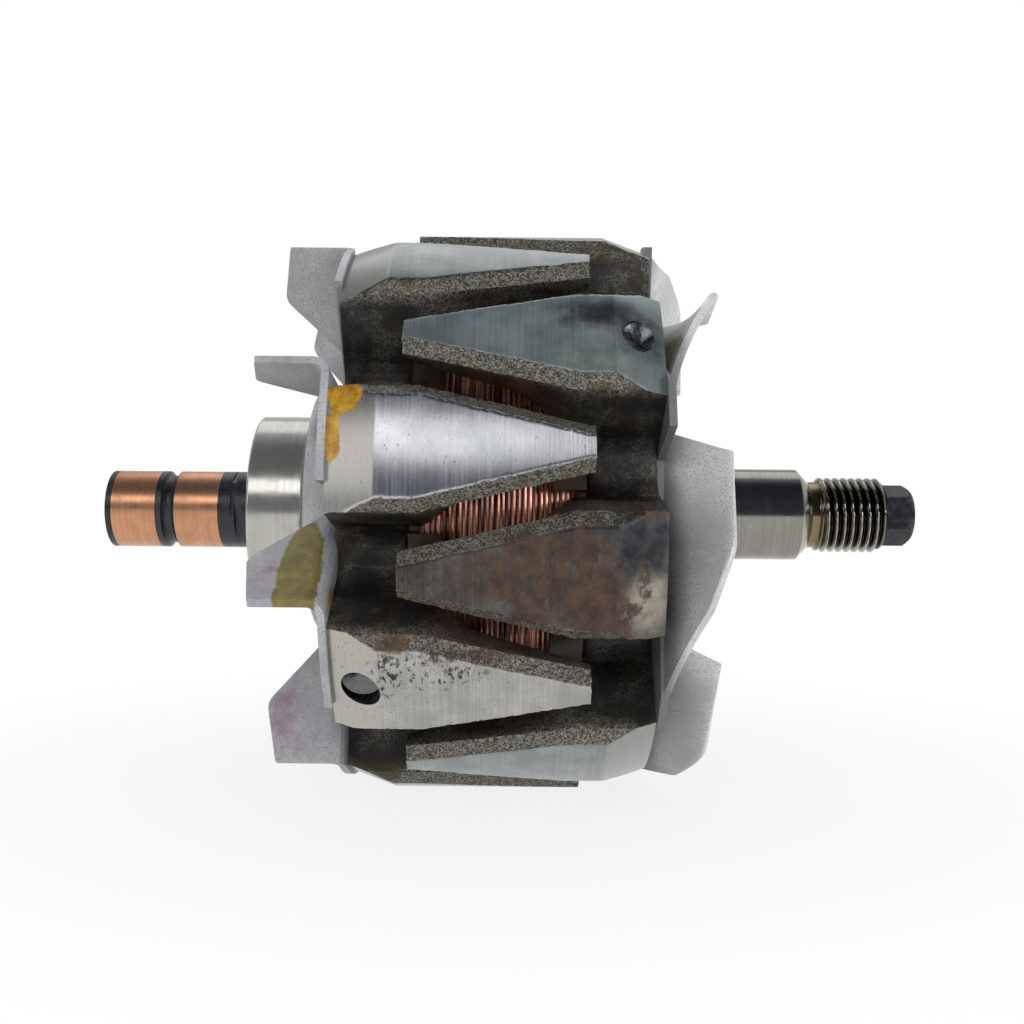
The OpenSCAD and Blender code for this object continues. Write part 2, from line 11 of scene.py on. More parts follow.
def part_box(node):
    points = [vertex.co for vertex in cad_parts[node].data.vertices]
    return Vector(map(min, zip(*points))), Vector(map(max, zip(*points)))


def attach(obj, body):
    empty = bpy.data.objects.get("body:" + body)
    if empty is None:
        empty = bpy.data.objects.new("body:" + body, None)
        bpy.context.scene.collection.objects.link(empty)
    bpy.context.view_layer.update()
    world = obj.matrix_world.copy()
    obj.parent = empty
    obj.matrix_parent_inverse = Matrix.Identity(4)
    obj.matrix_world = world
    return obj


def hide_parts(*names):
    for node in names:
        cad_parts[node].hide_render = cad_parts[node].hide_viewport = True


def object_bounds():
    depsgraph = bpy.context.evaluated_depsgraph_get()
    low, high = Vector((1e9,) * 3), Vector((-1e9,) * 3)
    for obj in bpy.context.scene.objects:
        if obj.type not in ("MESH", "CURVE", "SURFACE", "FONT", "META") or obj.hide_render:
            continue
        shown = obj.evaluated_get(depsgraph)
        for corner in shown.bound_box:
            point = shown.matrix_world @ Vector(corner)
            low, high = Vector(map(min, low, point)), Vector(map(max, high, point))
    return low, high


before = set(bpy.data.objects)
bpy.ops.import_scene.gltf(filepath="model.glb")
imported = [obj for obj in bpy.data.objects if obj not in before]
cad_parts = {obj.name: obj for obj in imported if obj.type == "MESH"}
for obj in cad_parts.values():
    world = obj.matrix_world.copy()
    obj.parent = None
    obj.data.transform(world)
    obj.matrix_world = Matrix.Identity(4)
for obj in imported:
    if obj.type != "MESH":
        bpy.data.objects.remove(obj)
cad_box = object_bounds()

# Sizes in mm and degrees. Angles around the shaft are counted from -Y towards -Z.
MM = 0.001
REAR_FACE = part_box("rear_pole_core")[0].x / MM
FRONT_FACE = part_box("front_pole_core")[1].x / MM
FLOOR_Z = cad_box[0].z / MM

# Claws
CLAW_R = 50.5
CLAW_COUNT = 8
CLAW_PITCH = 360 / CLAW_COUNT
REAR_CLAW = -14.75
FRONT_CLAW = REAR_CLAW + CLAW_PITCH / 2
CLAW_LEN = 40.3
CLAW_ROOT_HALF = 7.9
CLAW_TIP_HALF = 1.6
TAPER_START = 13.7
BEVEL_W = 1.9
BEVEL_D = 2.0
BEVEL_OVERLAP = 0.45
DRAFT = 0.45
DRAFT_RUN = 10.0
FOOT_MIN_HALF = 0.8
CHAMFER_LEN = 7.8
CHAMFER_DROP = 2.8
CROWN_RISE = 0.6
UNDER_WEB_R = 35.8
UNDER_ROOT_R = 38.4
UNDER_TIP_R = 46.0
UNDER_FLAT = 2.0
LUMP_SCALE = 0.33
LUMP_SHARE = 0.35
GRAIN_SCALE = 1.6
GRAIN_SHARE = 0.8
WALL_GRAIN = 0.20
BEVEL_GRAIN = 0.18
BEVEL_GRAIN_FALL = 0.04
UNDER_GRAIN = 0.12
END_GRAIN = 0.15
WALL_POINTS = 10
BEVEL_POINTS = 9
CROWN_POINTS = 25
UNDER_POINTS = 11
CHAMFER_STEPS = 17
FACE_STEPS = 74

# Balance holes
DRILL_R = 3.15
DRILL_LEAD = 3.0
DRILL_POINT = 0.6
DRILL_END_R = 0.15
DRILL_STEPS = 40

# Webs between the claws
WEB_T = FRONT_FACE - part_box("front_coil_petals")[1].x / MM
WEB_INSET = 0.04
WEB_LAP = 0.35
WEB_REACH = 40.5
WEB_GRAIN = 0.30
WEB_ROUND_DROP = 0.8
WEB_ROUND_LEN = 1.2
VALLEY_R = 5.2
VALLEY_STEPS = 56
RIM_STEPS = 15
SMALL_ANGLE = 0.2
SEAT_R = 9.02

# Radii over which the forged skin turns dark as painted shade, and how far varnish runs from a core's
# face
WALL_BAND = (48.7, 46.6)
VALLEY_BAND = (42.5, 39.0)
VARNISH_RUN = (15.0, 8.0)

# Coil
WIRE_R = 0.43
WIRE_SINK = 0.12
WIRE_LIFT = 0.10
WIRE_DRIFT = 0.14
WIRE_WAVE = 0.05
COIL_TURNS = 29
COIL_INNER_R = 23.3
COIL_CORE_SINK = 1.3 * WIRE_R
COIL_STEPS = 120
WIRE_SIDES = 8
COIL_SHADE = (36.55, 36.25)

# Front fan
FAN_T = 1.2
FRONT_FAN_R = 49.0
FRONT_PLATE_R = 32.0
FRONT_BLADE_ANGLE = 7.5
FRONT_BLADES = 6
FRONT_BLADE_PITCH = 360 / FRONT_BLADES
# Stations over which the front blades darken towards their bend, as painted shade
FRONT_BEND_SHADE = (FRONT_FACE + 1.5, FRONT_FACE + 6.0)
FAN_BORE_R = 9.3
FAN_RING_R = 20.0
PLATE_STEPS = 150
BEND_SHARE = 0.45
BEND_LIFT = 0.25
CORNER_START = 0.72
CORNER_CUT = 0.24
BLADE_INNER_H = 11.0
BLADE_OUTER_H = 9.2
BLADE_COLUMNS = 37
BLADE_ROWS = 21
LOBE_INNER_ANGLE = 12.9
LOBE_RIM_ANGLE = 31.8
EDGE_BACK = 0.2
# Points of a rounded sheet edge, as shares of half the sheet across and beyond it
EDGE_ROUND = [(0.7, 0.35), (0.0, 0.5), (-0.7, 0.35)]

# Shaft
STUB_R = 4.0
STUB_CHAMFER = 0.4
BEARING_SEAT_R = 8.5
SEAT_CHAMFER = 0.3
COLLAR_R = 10.8
CORE_SEAT_R = 9.0
JOURNAL_R = 8.5
JOURNAL_END = 53.0
JOURNAL_ROWS = 12
EDGE_LEN = 0.35
EDGE_DROP = 0.25
NECK_X = 55.3
NECK_R = 6.2
THREAD_X = 56.6
THREAD_R = 7.0
THREAD_PITCH = 1.5
THREAD_DEPTH = 0.92
THREAD_CHAMFER = 0.8
THREAD_RUN_OUT = 1.0
THREAD_STEPS = 16
FLANK_SLOPE = 2.6
FLANK_ROOT = 0.15
HEX_X = 69.1
HEX_HALF = 5.0
HEX_ANGLE = 21.5
HEX_CHAMFER = 1.0
HEX_LEAD = 0.8
HEX_RING_GAP = 0.3
THREAD_FADE_IN = (THREAD_X - 0.4, THREAD_X + 1.6)
THREAD_FADE_OUT = (HEX_X - 0.1, HEX_X - 0.9)
THREAD_SHADE = (6.30, 6.95)
SHAFT_STEPS = 144

# Camera and floor
CAMERA_ELEVATION = 3.5
CAMERA_DISTANCE = 222.0
CAMERA_LENS = 41.34
CAMERA_ROLL = 0.54
FLOOR_HALF = 4000


def polar(r, angle):
    return np.array([r * math.cos(math.radians(angle)), r * math.sin(math.radians(angle))])


def around(x, r, angle):
    """A point in mm from a station, a radius and an angle around the shaft."""
    y, z = -polar(r, angle)
    return np.array([x, y, z])


def spun(points, angle):
    """Points turned around the shaft."""
    x, y, z = np.moveaxis(np.asarray(points, float), -1, 0)
    cos, sin = polar(1, angle)
    return np.stack([x, y * cos - z * sin, y * sin + z * cos], -1)


def smooth(low, high, value):
    t = np.clip((value - low) / (high - low), 0, 1)
    return t * t * (3 - 2 * t)


# Shader nodes


class Nodes:
    """Short names for the shader nodes of one tree. Coordinates are in mm."""

    def __init__(self, tree):
        self.tree = tree
        tree.nodes.clear()

    def add(self, kind, **settings):
        node = self.tree.nodes.new(kind)
        for key, value in settings.items():
            setattr(node, key, value)
        return node

    def put(self, socket, value):
        if isinstance(value, bpy.types.NodeSocket):
            self.tree.links.new(value, socket)
        elif socket.type == "RGBA" and len(value) == 3:
            socket.default_value = (*value, 1)
        else:
            socket.default_value = value

    def math(self, operation, a, b=0.0):
        node = self.add("ShaderNodeMath", operation=operation)
        self.put(node.inputs[0], a)
        self.put(node.inputs[1], b)
        return node.outputs[0]

    def weigh(self, a, share_a, b, share_b):
        """Sum of two values, each times its share."""
        return self.math("ADD", self.math("MULTIPLY", a, share_a), self.math("MULTIPLY", b, share_b))

    def vector(self, operation, a, b=(0, 0, 0)):
        node = self.add("ShaderNodeVectorMath", operation=operation)
        self.put(node.inputs[0], a)
        self.put(node.inputs[1], b)
        return node.outputs["Value" if operation == "LENGTH" else "Vector"]

    def mix(self, share, a, b):
        node = self.add("ShaderNodeMix", data_type="RGBA")
        self.put(node.inputs["Factor"], share)
        self.put(node.inputs[6], a)
        self.put(node.inputs[7], b)
        return node.outputs[2]

    def blend(self, share, a, b):
        node = self.add("ShaderNodeMix", data_type="FLOAT")
        self.put(node.inputs["Factor"], share)
        self.put(node.inputs[2], a)
        self.put(node.inputs[3], b)
        return node.outputs[0]

    def step(self, value, low, high, to_low=0.0, to_high=1.0):
        node = self.add("ShaderNodeMapRange", interpolation_type="SMOOTHSTEP")
        for key, number in (("Value", value), ("From Min", low), ("From Max", high),
                            ("To Min", to_low), ("To Max", to_high)):
            self.put(node.inputs[key], number)
        return node.outputs[0]

    def noise(self, at, scale, detail=3.0, rough=0.55):
        node = self.add("ShaderNodeTexNoise")
        self.put(node.inputs["Vector"], at)
        self.put(node.inputs["Scale"], scale)
        self.put(node.inputs["Detail"], detail)
        self.put(node.inputs["Roughness"], rough)
        return node.outputs[0]

    def flecks(self, at, scale):
        """A value from 0 to 1 that is the same over each small cell."""
        node = self.add("ShaderNodeTexVoronoi")
        self.put(node.inputs["Vector"], at)
        self.put(node.inputs["Scale"], scale)
        split = self.add("ShaderNodeSeparateColor")
        self.put(split.inputs[0], node.outputs["Color"])
        return split.outputs[0]

    def position(self):
        """Object position in mm."""
        at = self.vector("SCALE", self.add("ShaderNodeTexCoord").outputs["Object"])
        at.node.inputs["Scale"].default_value = 1 / MM
        return at

    def parts(self, vector):
        """The three numbers of a vector."""
        split = self.add("ShaderNodeSeparateXYZ")
        self.put(split.inputs[0], vector)
        return split.outputs

    def radius(self, at):
        """Distance from the shaft's axis."""
        return self.vector("LENGTH", self.vector("MULTIPLY", at, (0, 1, 1)))

    def spot(self, at, stain_or_light):
        """Share of a ragged patch around a point, broken up by a fine grain where it asks for it."""
        away = self.vector("SUBTRACT", at, tuple(around(*stain_or_light.centre)))
        away = self.vector("LENGTH", self.vector("DIVIDE", away, stain_or_light.size))
        wander = self.math("SUBTRACT", self.noise(at, 0.32, 6.0, 0.68), 0.5)
        reach = self.math("ADD", away, self.math("MULTIPLY", wander, stain_or_light.ragged))
        share = self.step(reach, 1.04 - stain_or_light.soft, 1.04, stain_or_light.share, 0.0)
        if not stain_or_light.broken:
            return share
        streaks = self.noise(self.vector("MULTIPLY", at, (1.3, 0.75, 0.75)), stain_or_light.grain, 6.0, 0.72)
        return self.math("MULTIPLY", share, self.step(streaks, stain_or_light.broken - 0.03, stain_or_light.broken + 0.04))

    def stained(self, at, fine, stains_and_painted_light, colour, metallic, roughness):
        """Colour, metal share and roughness with patches of other finishes laid over them, among them
        painted shade, highlight and sheen.
        """
        if not stains_and_painted_light:
            return colour, metallic, roughness
        blotch = self.weigh(self.noise(at, 0.45, 3.0), 0.67, fine, 0.335)
        tone = self.step(blotch, 0.34, 0.66)
        for stain_or_light in stains_and_painted_light:
            share = self.spot(at, stain_or_light)
            look = stain_or_light.look
            colour = self.mix(share, colour, self.mix(tone, look.dark, look.light))
            metallic = self.blend(share, metallic, look.metallic)
            roughness = self.blend(share, roughness, look.roughness)
        return colour, metallic, roughness

    def bump(self, height, strength, distance):
        node = self.add("ShaderNodeBump")
        self.put(node.inputs["Height"], height)
        self.put(node.inputs["Strength"], strength)
        self.put(node.inputs["Distance"], distance * MM)
        return node.outputs[0]

    def finish(self, **inputs):
        shader = self.add("ShaderNodeBsdfPrincipled")
        for key, value in inputs.items():
            self.put(shader.inputs[key.replace("_", " ")], value)
        output = self.add("ShaderNodeOutputMaterial")
        self.tree.links.new(shader.outputs[0], output.inputs["Surface"])


def material(name):
    made = bpy.data.materials.new(name)
    made.use_nodes = True
    return made, Nodes(made.node_tree)


def lathe_lines(n, at, pitch, wander=0.03):
    """Fine turning lines around the shaft."""
    along = n.vector("MULTIPLY", at, (1 / pitch, wander, wander))
    return n.noise(along, 1.0, 4.0, 0.7)


# Materials


def forged_skin(n, at, s, cloud):
    """Colour, metal share, roughness and height of a claw's rough sides, darkened in the valleys by
    painted shade.
    """
    r = n.radius(at)
    grain = n.noise(at, 2.6, 5.0, 0.7)
    glint = n.step(n.weigh(n.flecks(at, 5.0), 0.55, grain, 0.45), 0.30, 0.82)
    colour = n.mix(glint, (0.046, 0.043, 0.034), (0.33, 0.315, 0.26))
    runs = n.step(n.noise(at, 0.20, 3.0), 0.46, 0.60)
    varnished = n.math("MULTIPLY", runs, n.step(s, *VARNISH_RUN, 0.0, 0.85))
    colour = n.mix(varnished, colour, n.mix(grain, (0.020, 0.014, 0.004), (0.105, 0.075, 0.020)))
    patchy = n.step(cloud, 0.38, 0.62, 0.40, 0.88)
    wall = n.step(r, *WALL_BAND)
    # painted shade: in patches, the sides turn near black further down the walls between claws
    colour = n.mix(n.math("MULTIPLY", wall, patchy), colour, (0.009, 0.010, 0.011))
    # dark varnish and painted shade at the bottom of the valleys
    deep = n.step(r, *VALLEY_BAND)
    dark_varnish_and_shade = n.mix(grain, (0.004, 0.0035, 0.003), (0.018, 0.013, 0.009))
    colour = n.mix(n.math("MULTIPLY", deep, patchy), colour, dark_varnish_and_shade)
    metallic = n.blend(wall, 0.55, 0.25)
    roughness = n.blend(deep, n.step(grain, 0.3, 0.7, 0.28, 0.46), 0.16)
    return colour, metallic, roughness, n.weigh(grain, 0.8, glint, 0.12)


def claw_material(name, rear, face=(0.21, 0.235, 0.235), light=(0.35, 0.37, 0.365),
                  chamfer=(0.29, 0.28, 0.245), pits=0.66, rough=0.26, metal=1.0, stains_and_painted_light=()):
    """Turned face over rough forged sides. The turned share is found from the radius."""
    made, n = material(name)
    at = n.position()
    x = n.parts(at)[0]
    s = n.math("SUBTRACT", x, REAR_FACE) if rear else n.math("SUBTRACT", FRONT_FACE, x)
    cone = n.math("ADD", n.math("MULTIPLY", s, CHAMFER_DROP / CHAMFER_LEN), CLAW_R - CHAMFER_DROP)
    turned = n.step(n.math("SUBTRACT", n.radius(at), n.math("MINIMUM", cone, CLAW_R)), -0.14, -0.03)
    on_chamfer = n.step(s, CHAMFER_LEN + 0.15, CHAMFER_LEN - 0.15, 0.0, 0.8)

    lines = lathe_lines(n, at, 0.35)
    cloud = n.noise(at, 0.16, 4.0)
    fine = n.noise(at, 2.4, 5.0, 0.7)
    steel = n.mix(n.step(n.weigh(lines, 0.45, cloud, 0.6), 0.40, 0.72), face, light)
    steel = n.mix(on_chamfer, steel, n.mix(lines, chamfer, light))
    holes = n.math("MULTIPLY", n.step(fine, pits, pits + 0.04), n.step(cloud, 0.40, 0.58))
    steel = n.mix(holes, steel, (0.012, 0.011, 0.010))
    steel_metal = n.math("SUBTRACT", metal, n.math("MULTIPLY", holes, 0.8 * metal))
    steel_rough = n.math("ADD", n.math("MULTIPLY", lines, 0.16), rough - 0.08)
    steel_height = n.weigh(lines, 0.05, holes, -0.2)

    skin, skin_metal, skin_rough, skin_height = forged_skin(n, at, s, cloud)
    colour = n.mix(turned, skin, steel)
    metallic = n.blend(turned, skin_metal, steel_metal)
    roughness = n.blend(turned, skin_rough, steel_rough)
    colour, metallic, roughness = n.stained(at, fine, stains_and_painted_light, colour, metallic, roughness)
    n.finish(Base_Color=colour, Metallic=metallic, Roughness=roughness, Coat_Weight=0.15,
             Coat_Roughness=0.12, Normal=n.bump(n.blend(turned, skin_height, steel_height), 0.8, 0.30))
    return made


def drilled_material():
    # The inside of a balance hole, darkened overall as painted shade.
    made, n = material("drilled_steel")
    swirl = n.noise(n.vector("MULTIPLY", n.position(), (1.0, 0.4, 0.4)), 3.0, 3.0)
    n.finish(Base_Color=n.mix(swirl, (0.055, 0.058, 0.062), (0.24, 0.245, 0.245)), Metallic=1.0,
             Roughness=n.step(swirl, 0.2, 0.8, 0.16, 0.34), Normal=n.bump(swirl, 0.4, 0.1))
    return made


def zinc_material(name, dark, light, stains_and_painted_light, bend=None):
    """Zinc-plated sheet with fine dark specks, soft clouds, coloured staining, patches of painted shade
    and highlight, and a bend darkened as painted shade.
    """
    made, n = material(name)
    at = n.position()
    cloud = n.noise(at, 0.12, 4.0)
    fine = n.noise(at, 1.6, 6.0, 0.75)
    specks = n.step(n.noise(at, 4.6, 2.0), 0.56, 0.64)
    specks = n.math("MULTIPLY", specks, n.step(cloud, 0.36, 0.56, 0.30, 0.70))
    colour = n.mix(n.step(cloud, 0.32, 0.68), dark, light)
    colour = n.mix(n.step(fine, 0.40, 0.75, 0.0, 0.4), colour, (0.74, 0.76, 0.75))
    colour = n.mix(specks, colour, (0.13, 0.135, 0.13))
    if bend:
        # painted shade: the sheet turns dark blue-grey towards the bend next to the claws
        along = n.weigh(n.parts(at)[0], 1.0, cloud, 2.0)
        colour = n.mix(n.step(along, *bend, 0.8, 0.0), colour, (0.085, 0.09, 0.105))
    roughness = n.step(fine, 0.25, 0.75, 0.38, 0.54)
    colour, metallic, roughness = n.stained(at, fine, stains_and_painted_light, colour, 0.25, roughness)
    n.finish(Base_Color=colour, Metallic=metallic, Roughness=roughness, Normal=n.bump(fine, 0.35, 0.08))
    return made


def shaft_material():
    """Ground journal, dark rolled thread and blackened hexagon on one shaft."""
    made, n = material("shaft_finish")
    at = n.position()
    x = n.parts(at)[0]
    lines = lathe_lines(n, at, 0.5, 0.02)
    cloud = n.noise(at, 0.22, 4.0)
    journal = n.mix(n.step(lines, 0.3, 0.7), (0.24, 0.235, 0.215), (0.30, 0.29, 0.26))
    journal = n.mix(n.step(cloud, 0.48, 0.72, 0.0, 0.4), journal, (0.22, 0.19, 0.15))
    chamfer = n.mix(lines, (0.30, 0.28, 0.24), (0.50, 0.47, 0.40))
    thread = n.mix(n.step(n.radius(at), *THREAD_SHADE), (0.022, 0.019, 0.016), (0.40, 0.38, 0.33))
    thread = n.mix(n.step(x, NECK_X + 3.0, NECK_X + 0.4, 0.0, 0.65), thread, (0.34, 0.27, 0.15))
    stained = n.step(n.noise(at, 1.1, 5.0), 0.35, 0.75)
    black = n.mix(stained, (0.008, 0.009, 0.012), (0.036, 0.040, 0.048))
    colour = n.mix(n.step(x, JOURNAL_END - 0.1, JOURNAL_END + 0.1), journal, chamfer)
    colour = n.mix(n.step(x, NECK_X - 0.1, NECK_X + 0.1), colour, thread)
    on_hexagon = n.step(x, HEX_X - 0.1, HEX_X + 0.2)
    colour = n.mix(on_hexagon, colour, black)
    roughness = n.blend(on_hexagon, n.step(cloud, 0.3, 0.7, 0.10, 0.20), 0.42)
    n.finish(Base_Color=colour, Metallic=n.blend(on_hexagon, 1.0, 0.5), Roughness=roughness,
             Normal=n.bump(lines, 0.06, 0.05))
    return made


def turned_material(name, dark, light, pitch, roughness, worn=None, metallic=1.0):
    """A machined ring with faint turning lines and cloudy tarnish."""
    made, n = material(name)
    at = n.position()
    lines = lathe_lines(n, at, pitch, 0.02)
    cloud = n.noise(at, 0.30, 4.0)
    colour = n.mix(n.step(lines, 0.28, 0.72), dark, light)
    if worn:
        colour = n.mix(n.step(cloud, 0.45, 0.75, 0.0, 0.6), colour, worn)
    n.finish(Base_Color=colour, Metallic=metallic, Normal=n.bump(lines, 0.06, 0.04),
             Roughness=n.step(cloud, 0.3, 0.7, roughness, roughness + 0.08))
    return made


def plain_material(name, dark, light, scale, roughness, metallic=0.0, coat=0.0):
    """Moulded, varnished or rubber surfaces with a mottled colour and a fine grain."""
    made, n = material(name)
    at = n.position()
    grain = n.noise(at, scale, 5.0, 0.65)
    share = n.weigh(grain, 0.5, n.noise(at, scale * 0.15, 3.0), 0.5)
    n.finish(Base_Color=n.mix(n.step(share, 0.35, 0.65), dark, light), Metallic=metallic,
             Roughness=n.step(grain, 0.25, 0.75, roughness, roughness + 0.15), Coat_Weight=coat,
             Coat_Roughness=0.08, Normal=n.bump(grain, 0.4, 0.06))
    return made


def wire_material():
    made, n = material("enamelled_wire")
    at = n.position()
    cloud = n.noise(at, 0.35, 4.0)
    strand = n.noise(n.vector("MULTIPLY", at, (1.2, 0.05, 0.05)), 1.0, 1.0)
    colour = n.mix(n.step(strand, 0.36, 0.66), (0.14, 0.040, 0.022), (0.78, 0.34, 0.22))
    colour = n.mix(n.step(cloud, 0.56, 0.74, 0.0, 0.8), colour, (0.045, 0.015, 0.010))
    # painted shade: below a radius the wire and the core under it turn near black, in the gaps between
    # turns
    colour = n.mix(n.step(n.radius(at), *COIL_SHADE), colour, (0.008, 0.004, 0.004))
    n.finish(Base_Color=colour, Metallic=0.55, Roughness=n.step(cloud, 0.3, 0.7, 0.22, 0.38),
             Coat_Weight=0.4, Coat_Roughness=0.1, Normal=n.bump(cloud, 0.2, 0.05))
    return made


# Stains and patches of painted shade, highlight and sheen

# Each stain and each patch of painted shade, highlight and sheen lies around a station, a radius and an
# angle, with a reach along X, Y and Z.
Look = namedtuple("Look", "dark light metallic roughness")
StainOrLightPatch = namedtuple("StainOrLightPatch", "look centre size share ragged soft broken grain",
                   defaults=(0.9, 1.2, 0.3, 0.0, 0.9))

VARNISH = Look((0.33, 0.13, 0.004), (0.74, 0.42, 0.02), 0.10, 0.20)
OLIVE = Look((0.14, 0.108, 0.010), (0.25, 0.195, 0.03), 0.15, 0.22)
AMBER = Look((0.045, 0.024, 0.008), (0.15, 0.075, 0.022), 0.20, 0.25)
MAUVE = Look((0.36, 0.31, 0.37), (0.52, 0.46, 0.53), 0.35, 0.45)
MAGENTA = Look((0.27, 0.12, 0.23), (0.44, 0.26, 0.40), 0.30, 0.40)
# painted highlight: the pale, blurred reflection on a rear blade's bend
PAINTED_HIGHLIGHT = Look((0.28, 0.30, 0.35), (0.44, 0.46, 0.52), 0.20, 0.40)
# painted shade for the dark zone where the front blades bend up from the plate
SHADE = Look((0.05, 0.055, 0.07), (0.14, 0.15, 0.17), 0.35, 0.42)
RUST = Look((0.027, 0.013, 0.008), (0.098, 0.047, 0.024), 0.10, 0.65)
SOOT = Look((0.008, 0.007, 0.007), (0.026, 0.024, 0.022), 0.20, 0.55)
BLUED = Look((0.014, 0.016, 0.019), (0.045, 0.050, 0.055), 0.80, 0.30)
# a green tint with a painted sheen, lighter than the blued steel around it
GREEN_SHEEN = Look((0.32, 0.39, 0.35), (0.56, 0.64, 0.57), 0.85, 0.36)
BARE = Look((0.22, 0.205, 0.165), (0.36, 0.335, 0.275), 1.00, 0.34)

BRIGHT_STAINS = [
    StainOrLightPatch(VARNISH, (-25.2, 48.7, -24.5), (2.7, 4.0, 2.8), 0.97, 1.6, 0.15),
    StainOrLightPatch(VARNISH, (-26.9, 48.0, -17.5), (1.3, 4.0, 5.0), 0.95, 1.4, 0.15),
]
PITTED_STAINS = [
    StainOrLightPatch(RUST, (-4.0, 50.3, 22.2), (13.0, 1.8, 1.5), 0.85, 1.8, 0.4, 0.47),
    StainOrLightPatch(SOOT, (-13.0, 50.4, 25.5), (9.5, 4.0, 3.6), 0.95, 1.5, 0.3, 0.55, 1.1),
    StainOrLightPatch(SOOT, (-18.6, 50.4, 26.0), (2.2, 4.0, 5.0), 0.95, 1.5, 0.3, 0.52, 1.1),
    StainOrLightPatch(AMBER, (-17.6, 49.3, 20.4), (3.8, 2.4, 1.8), 0.8, 2.4, 0.6),
    StainOrLightPatch(OLIVE, (-2.0, 49.5, 20.0), (2.6, 1.5, 1.3), 0.6),
]
RUSTED_STAINS = [
    StainOrLightPatch(RUST, (-6.0, 50.4, 8.0), (9.0, 4.0, 4.5), 0.65, 2.0, 0.6, 0.48, 0.7),
    StainOrLightPatch(RUST, (7.0, 50.4, 8.0), (13.0, 6.0, 9.0), 0.95, 2.2, 0.4, 0.41, 0.5),
    StainOrLightPatch(BLUED, (20.0, 49.5, 1.0), (6.0, 5.0, 9.0), 0.97, 0.9, 0.5),
    StainOrLightPatch(BARE, (20.6, 49.5, 12.6), (4.6, 5.0, 6.0), 0.95, 0.9, 0.6),
    StainOrLightPatch(RUST, (13.5, 50.0, 14.5), (6.0, 4.0, 4.4), 0.95, 2.2, 0.3, 0.42, 0.6),
    StainOrLightPatch(RUST, (20.5, 49.0, -4.6), (4.8, 3.0, 2.6), 0.85, 2.0, 0.4, 0.46),
    StainOrLightPatch(RUST, (19.8, 49.0, 7.5), (1.3, 3.0, 4.0), 0.85, 2.4, 0.4, 0.46),
    StainOrLightPatch(SOOT, (-14.0, 50.4, 8.2), (3.6, 2.0, 1.5), 0.9, 1.6, 0.3, 0.53, 1.1),
]
BLUED_STAINS_AND_SHEEN = [
    StainOrLightPatch(BLUED, (14.0, 50.4, -41.5), (11.0, 5.0, 4.5), 0.80, 1.4, 0.9),
    # green tint and painted sheen low on the blued claw
    StainOrLightPatch(GREEN_SHEEN, (12.5, 50.4, -31.5), (10.0, 4.0, 3.2), 0.70, 1.0, 0.9),
    StainOrLightPatch(BLUED, (20.5, 49.5, -38.0), (6.0, 8.0, 9.0), 0.55, 1.2, 0.9),
]
FRONT_STAINS_AND_SHADE = [
    StainOrLightPatch(OLIVE, (25.4, 43.0, -41.0), (1.7, 7.0, 5.5), 0.75, 1.4, 0.5),
    StainOrLightPatch(OLIVE, (25.0, 42.0, -6.0), (1.3, 8.0, 4.5), 0.55, 1.2, 0.7),
    # painted shade at the upper end of a front blade's bend
    StainOrLightPatch(SHADE, (27.0, 42.0, -20.0), (4.2, 10.0, 5.5), 0.7, 1.2, 0.9),
]
REAR_STAINS_AND_HIGHLIGHT = [
    StainOrLightPatch(MAUVE, (-38.0, 44.0, 9.0), (4.0, 8.0, 8.0), 0.6, 1.4, 0.6),
    StainOrLightPatch(MAGENTA, (-37.4, 44.0, 8.5), (1.6, 6.0, 0.7), 0.7, 2.0, 0.5, 0.47),
    StainOrLightPatch(OLIVE, (-32.6, 44.0, 7.0), (3.5, 14.0, 18.0), 0.92, 0.5, 0.12),
    # painted highlight on the bend of a rear blade
    StainOrLightPatch(PAINTED_HIGHLIGHT, (-28.4, 44.0, 5.0), (2.1, 8.0, 4.4), 0.8, 0.8, 0.4),
    StainOrLightPatch(VARNISH, (-28.2, 42.0, 17.0), (1.2, 5.0, 3.0), 0.6),
    StainOrLightPatch(MAGENTA, (-38.6, 43.0, 51.0), (3.6, 9.0, 9.0), 0.65, 2.0, 0.8),
    StainOrLightPatch(MAUVE, (-33.0, 43.0, 55.0), (6.0, 9.0, 9.0), 0.5, 1.6, 0.8),
    StainOrLightPatch(MAGENTA, (-32.0, 43.0, -54.0), (4.0, 9.0, 6.0), 0.4, 2.0, 0.8),
]


# Meshes


def outward(mesh):
    """Turns the faces of closed skins to the outside."""
    work = bmesh.new()
    work.from_mesh(mesh)
    bmesh.ops.recalc_face_normals(work, faces=work.faces)
    work.to_mesh(mesh)
    work.free()


class Shape:
    """Points in mm and faces gathered from several grids, with a finish number for each face."""

    def __init__(self):
        self.points = []
        self.faces = []
        self.finish = []
        self.count = 0

    def add(self, points, faces, finish):
        points = np.asarray(points, float).reshape(-1, 3)
        self.points.append(points)
        self.faces += [tuple(i + self.count for i in face) for face in faces]
        self.finish += finish
        self.count += len(points)

    def grid(self, rows, finish=0, loop=False):
        """A skin over closed rows of points. The rows form a loop, or the first and last are capped."""
        rows = np.asarray(rows, float)
        count, width = rows.shape[:2]
        faces = []
        for i in range(count if loop else count - 1):
            for j in range(width):
                a, b = i * width + j, i * width + (j + 1) % width
                c = (i + 1) % count * width
                faces.append((a, b, c + (j + 1) % width, c + j))
        if not loop:
            faces.append(tuple(reversed(range(width))))
            faces.append(tuple((count - 1) * width + j for j in range(width)))
        self.add(rows, faces, [finish] * len(faces))

    def mesh(self, name, unit):
        made = bpy.data.meshes.new(name)
        made.from_pydata((np.vstack(self.points) * unit).tolist(), [], self.faces)
        return made


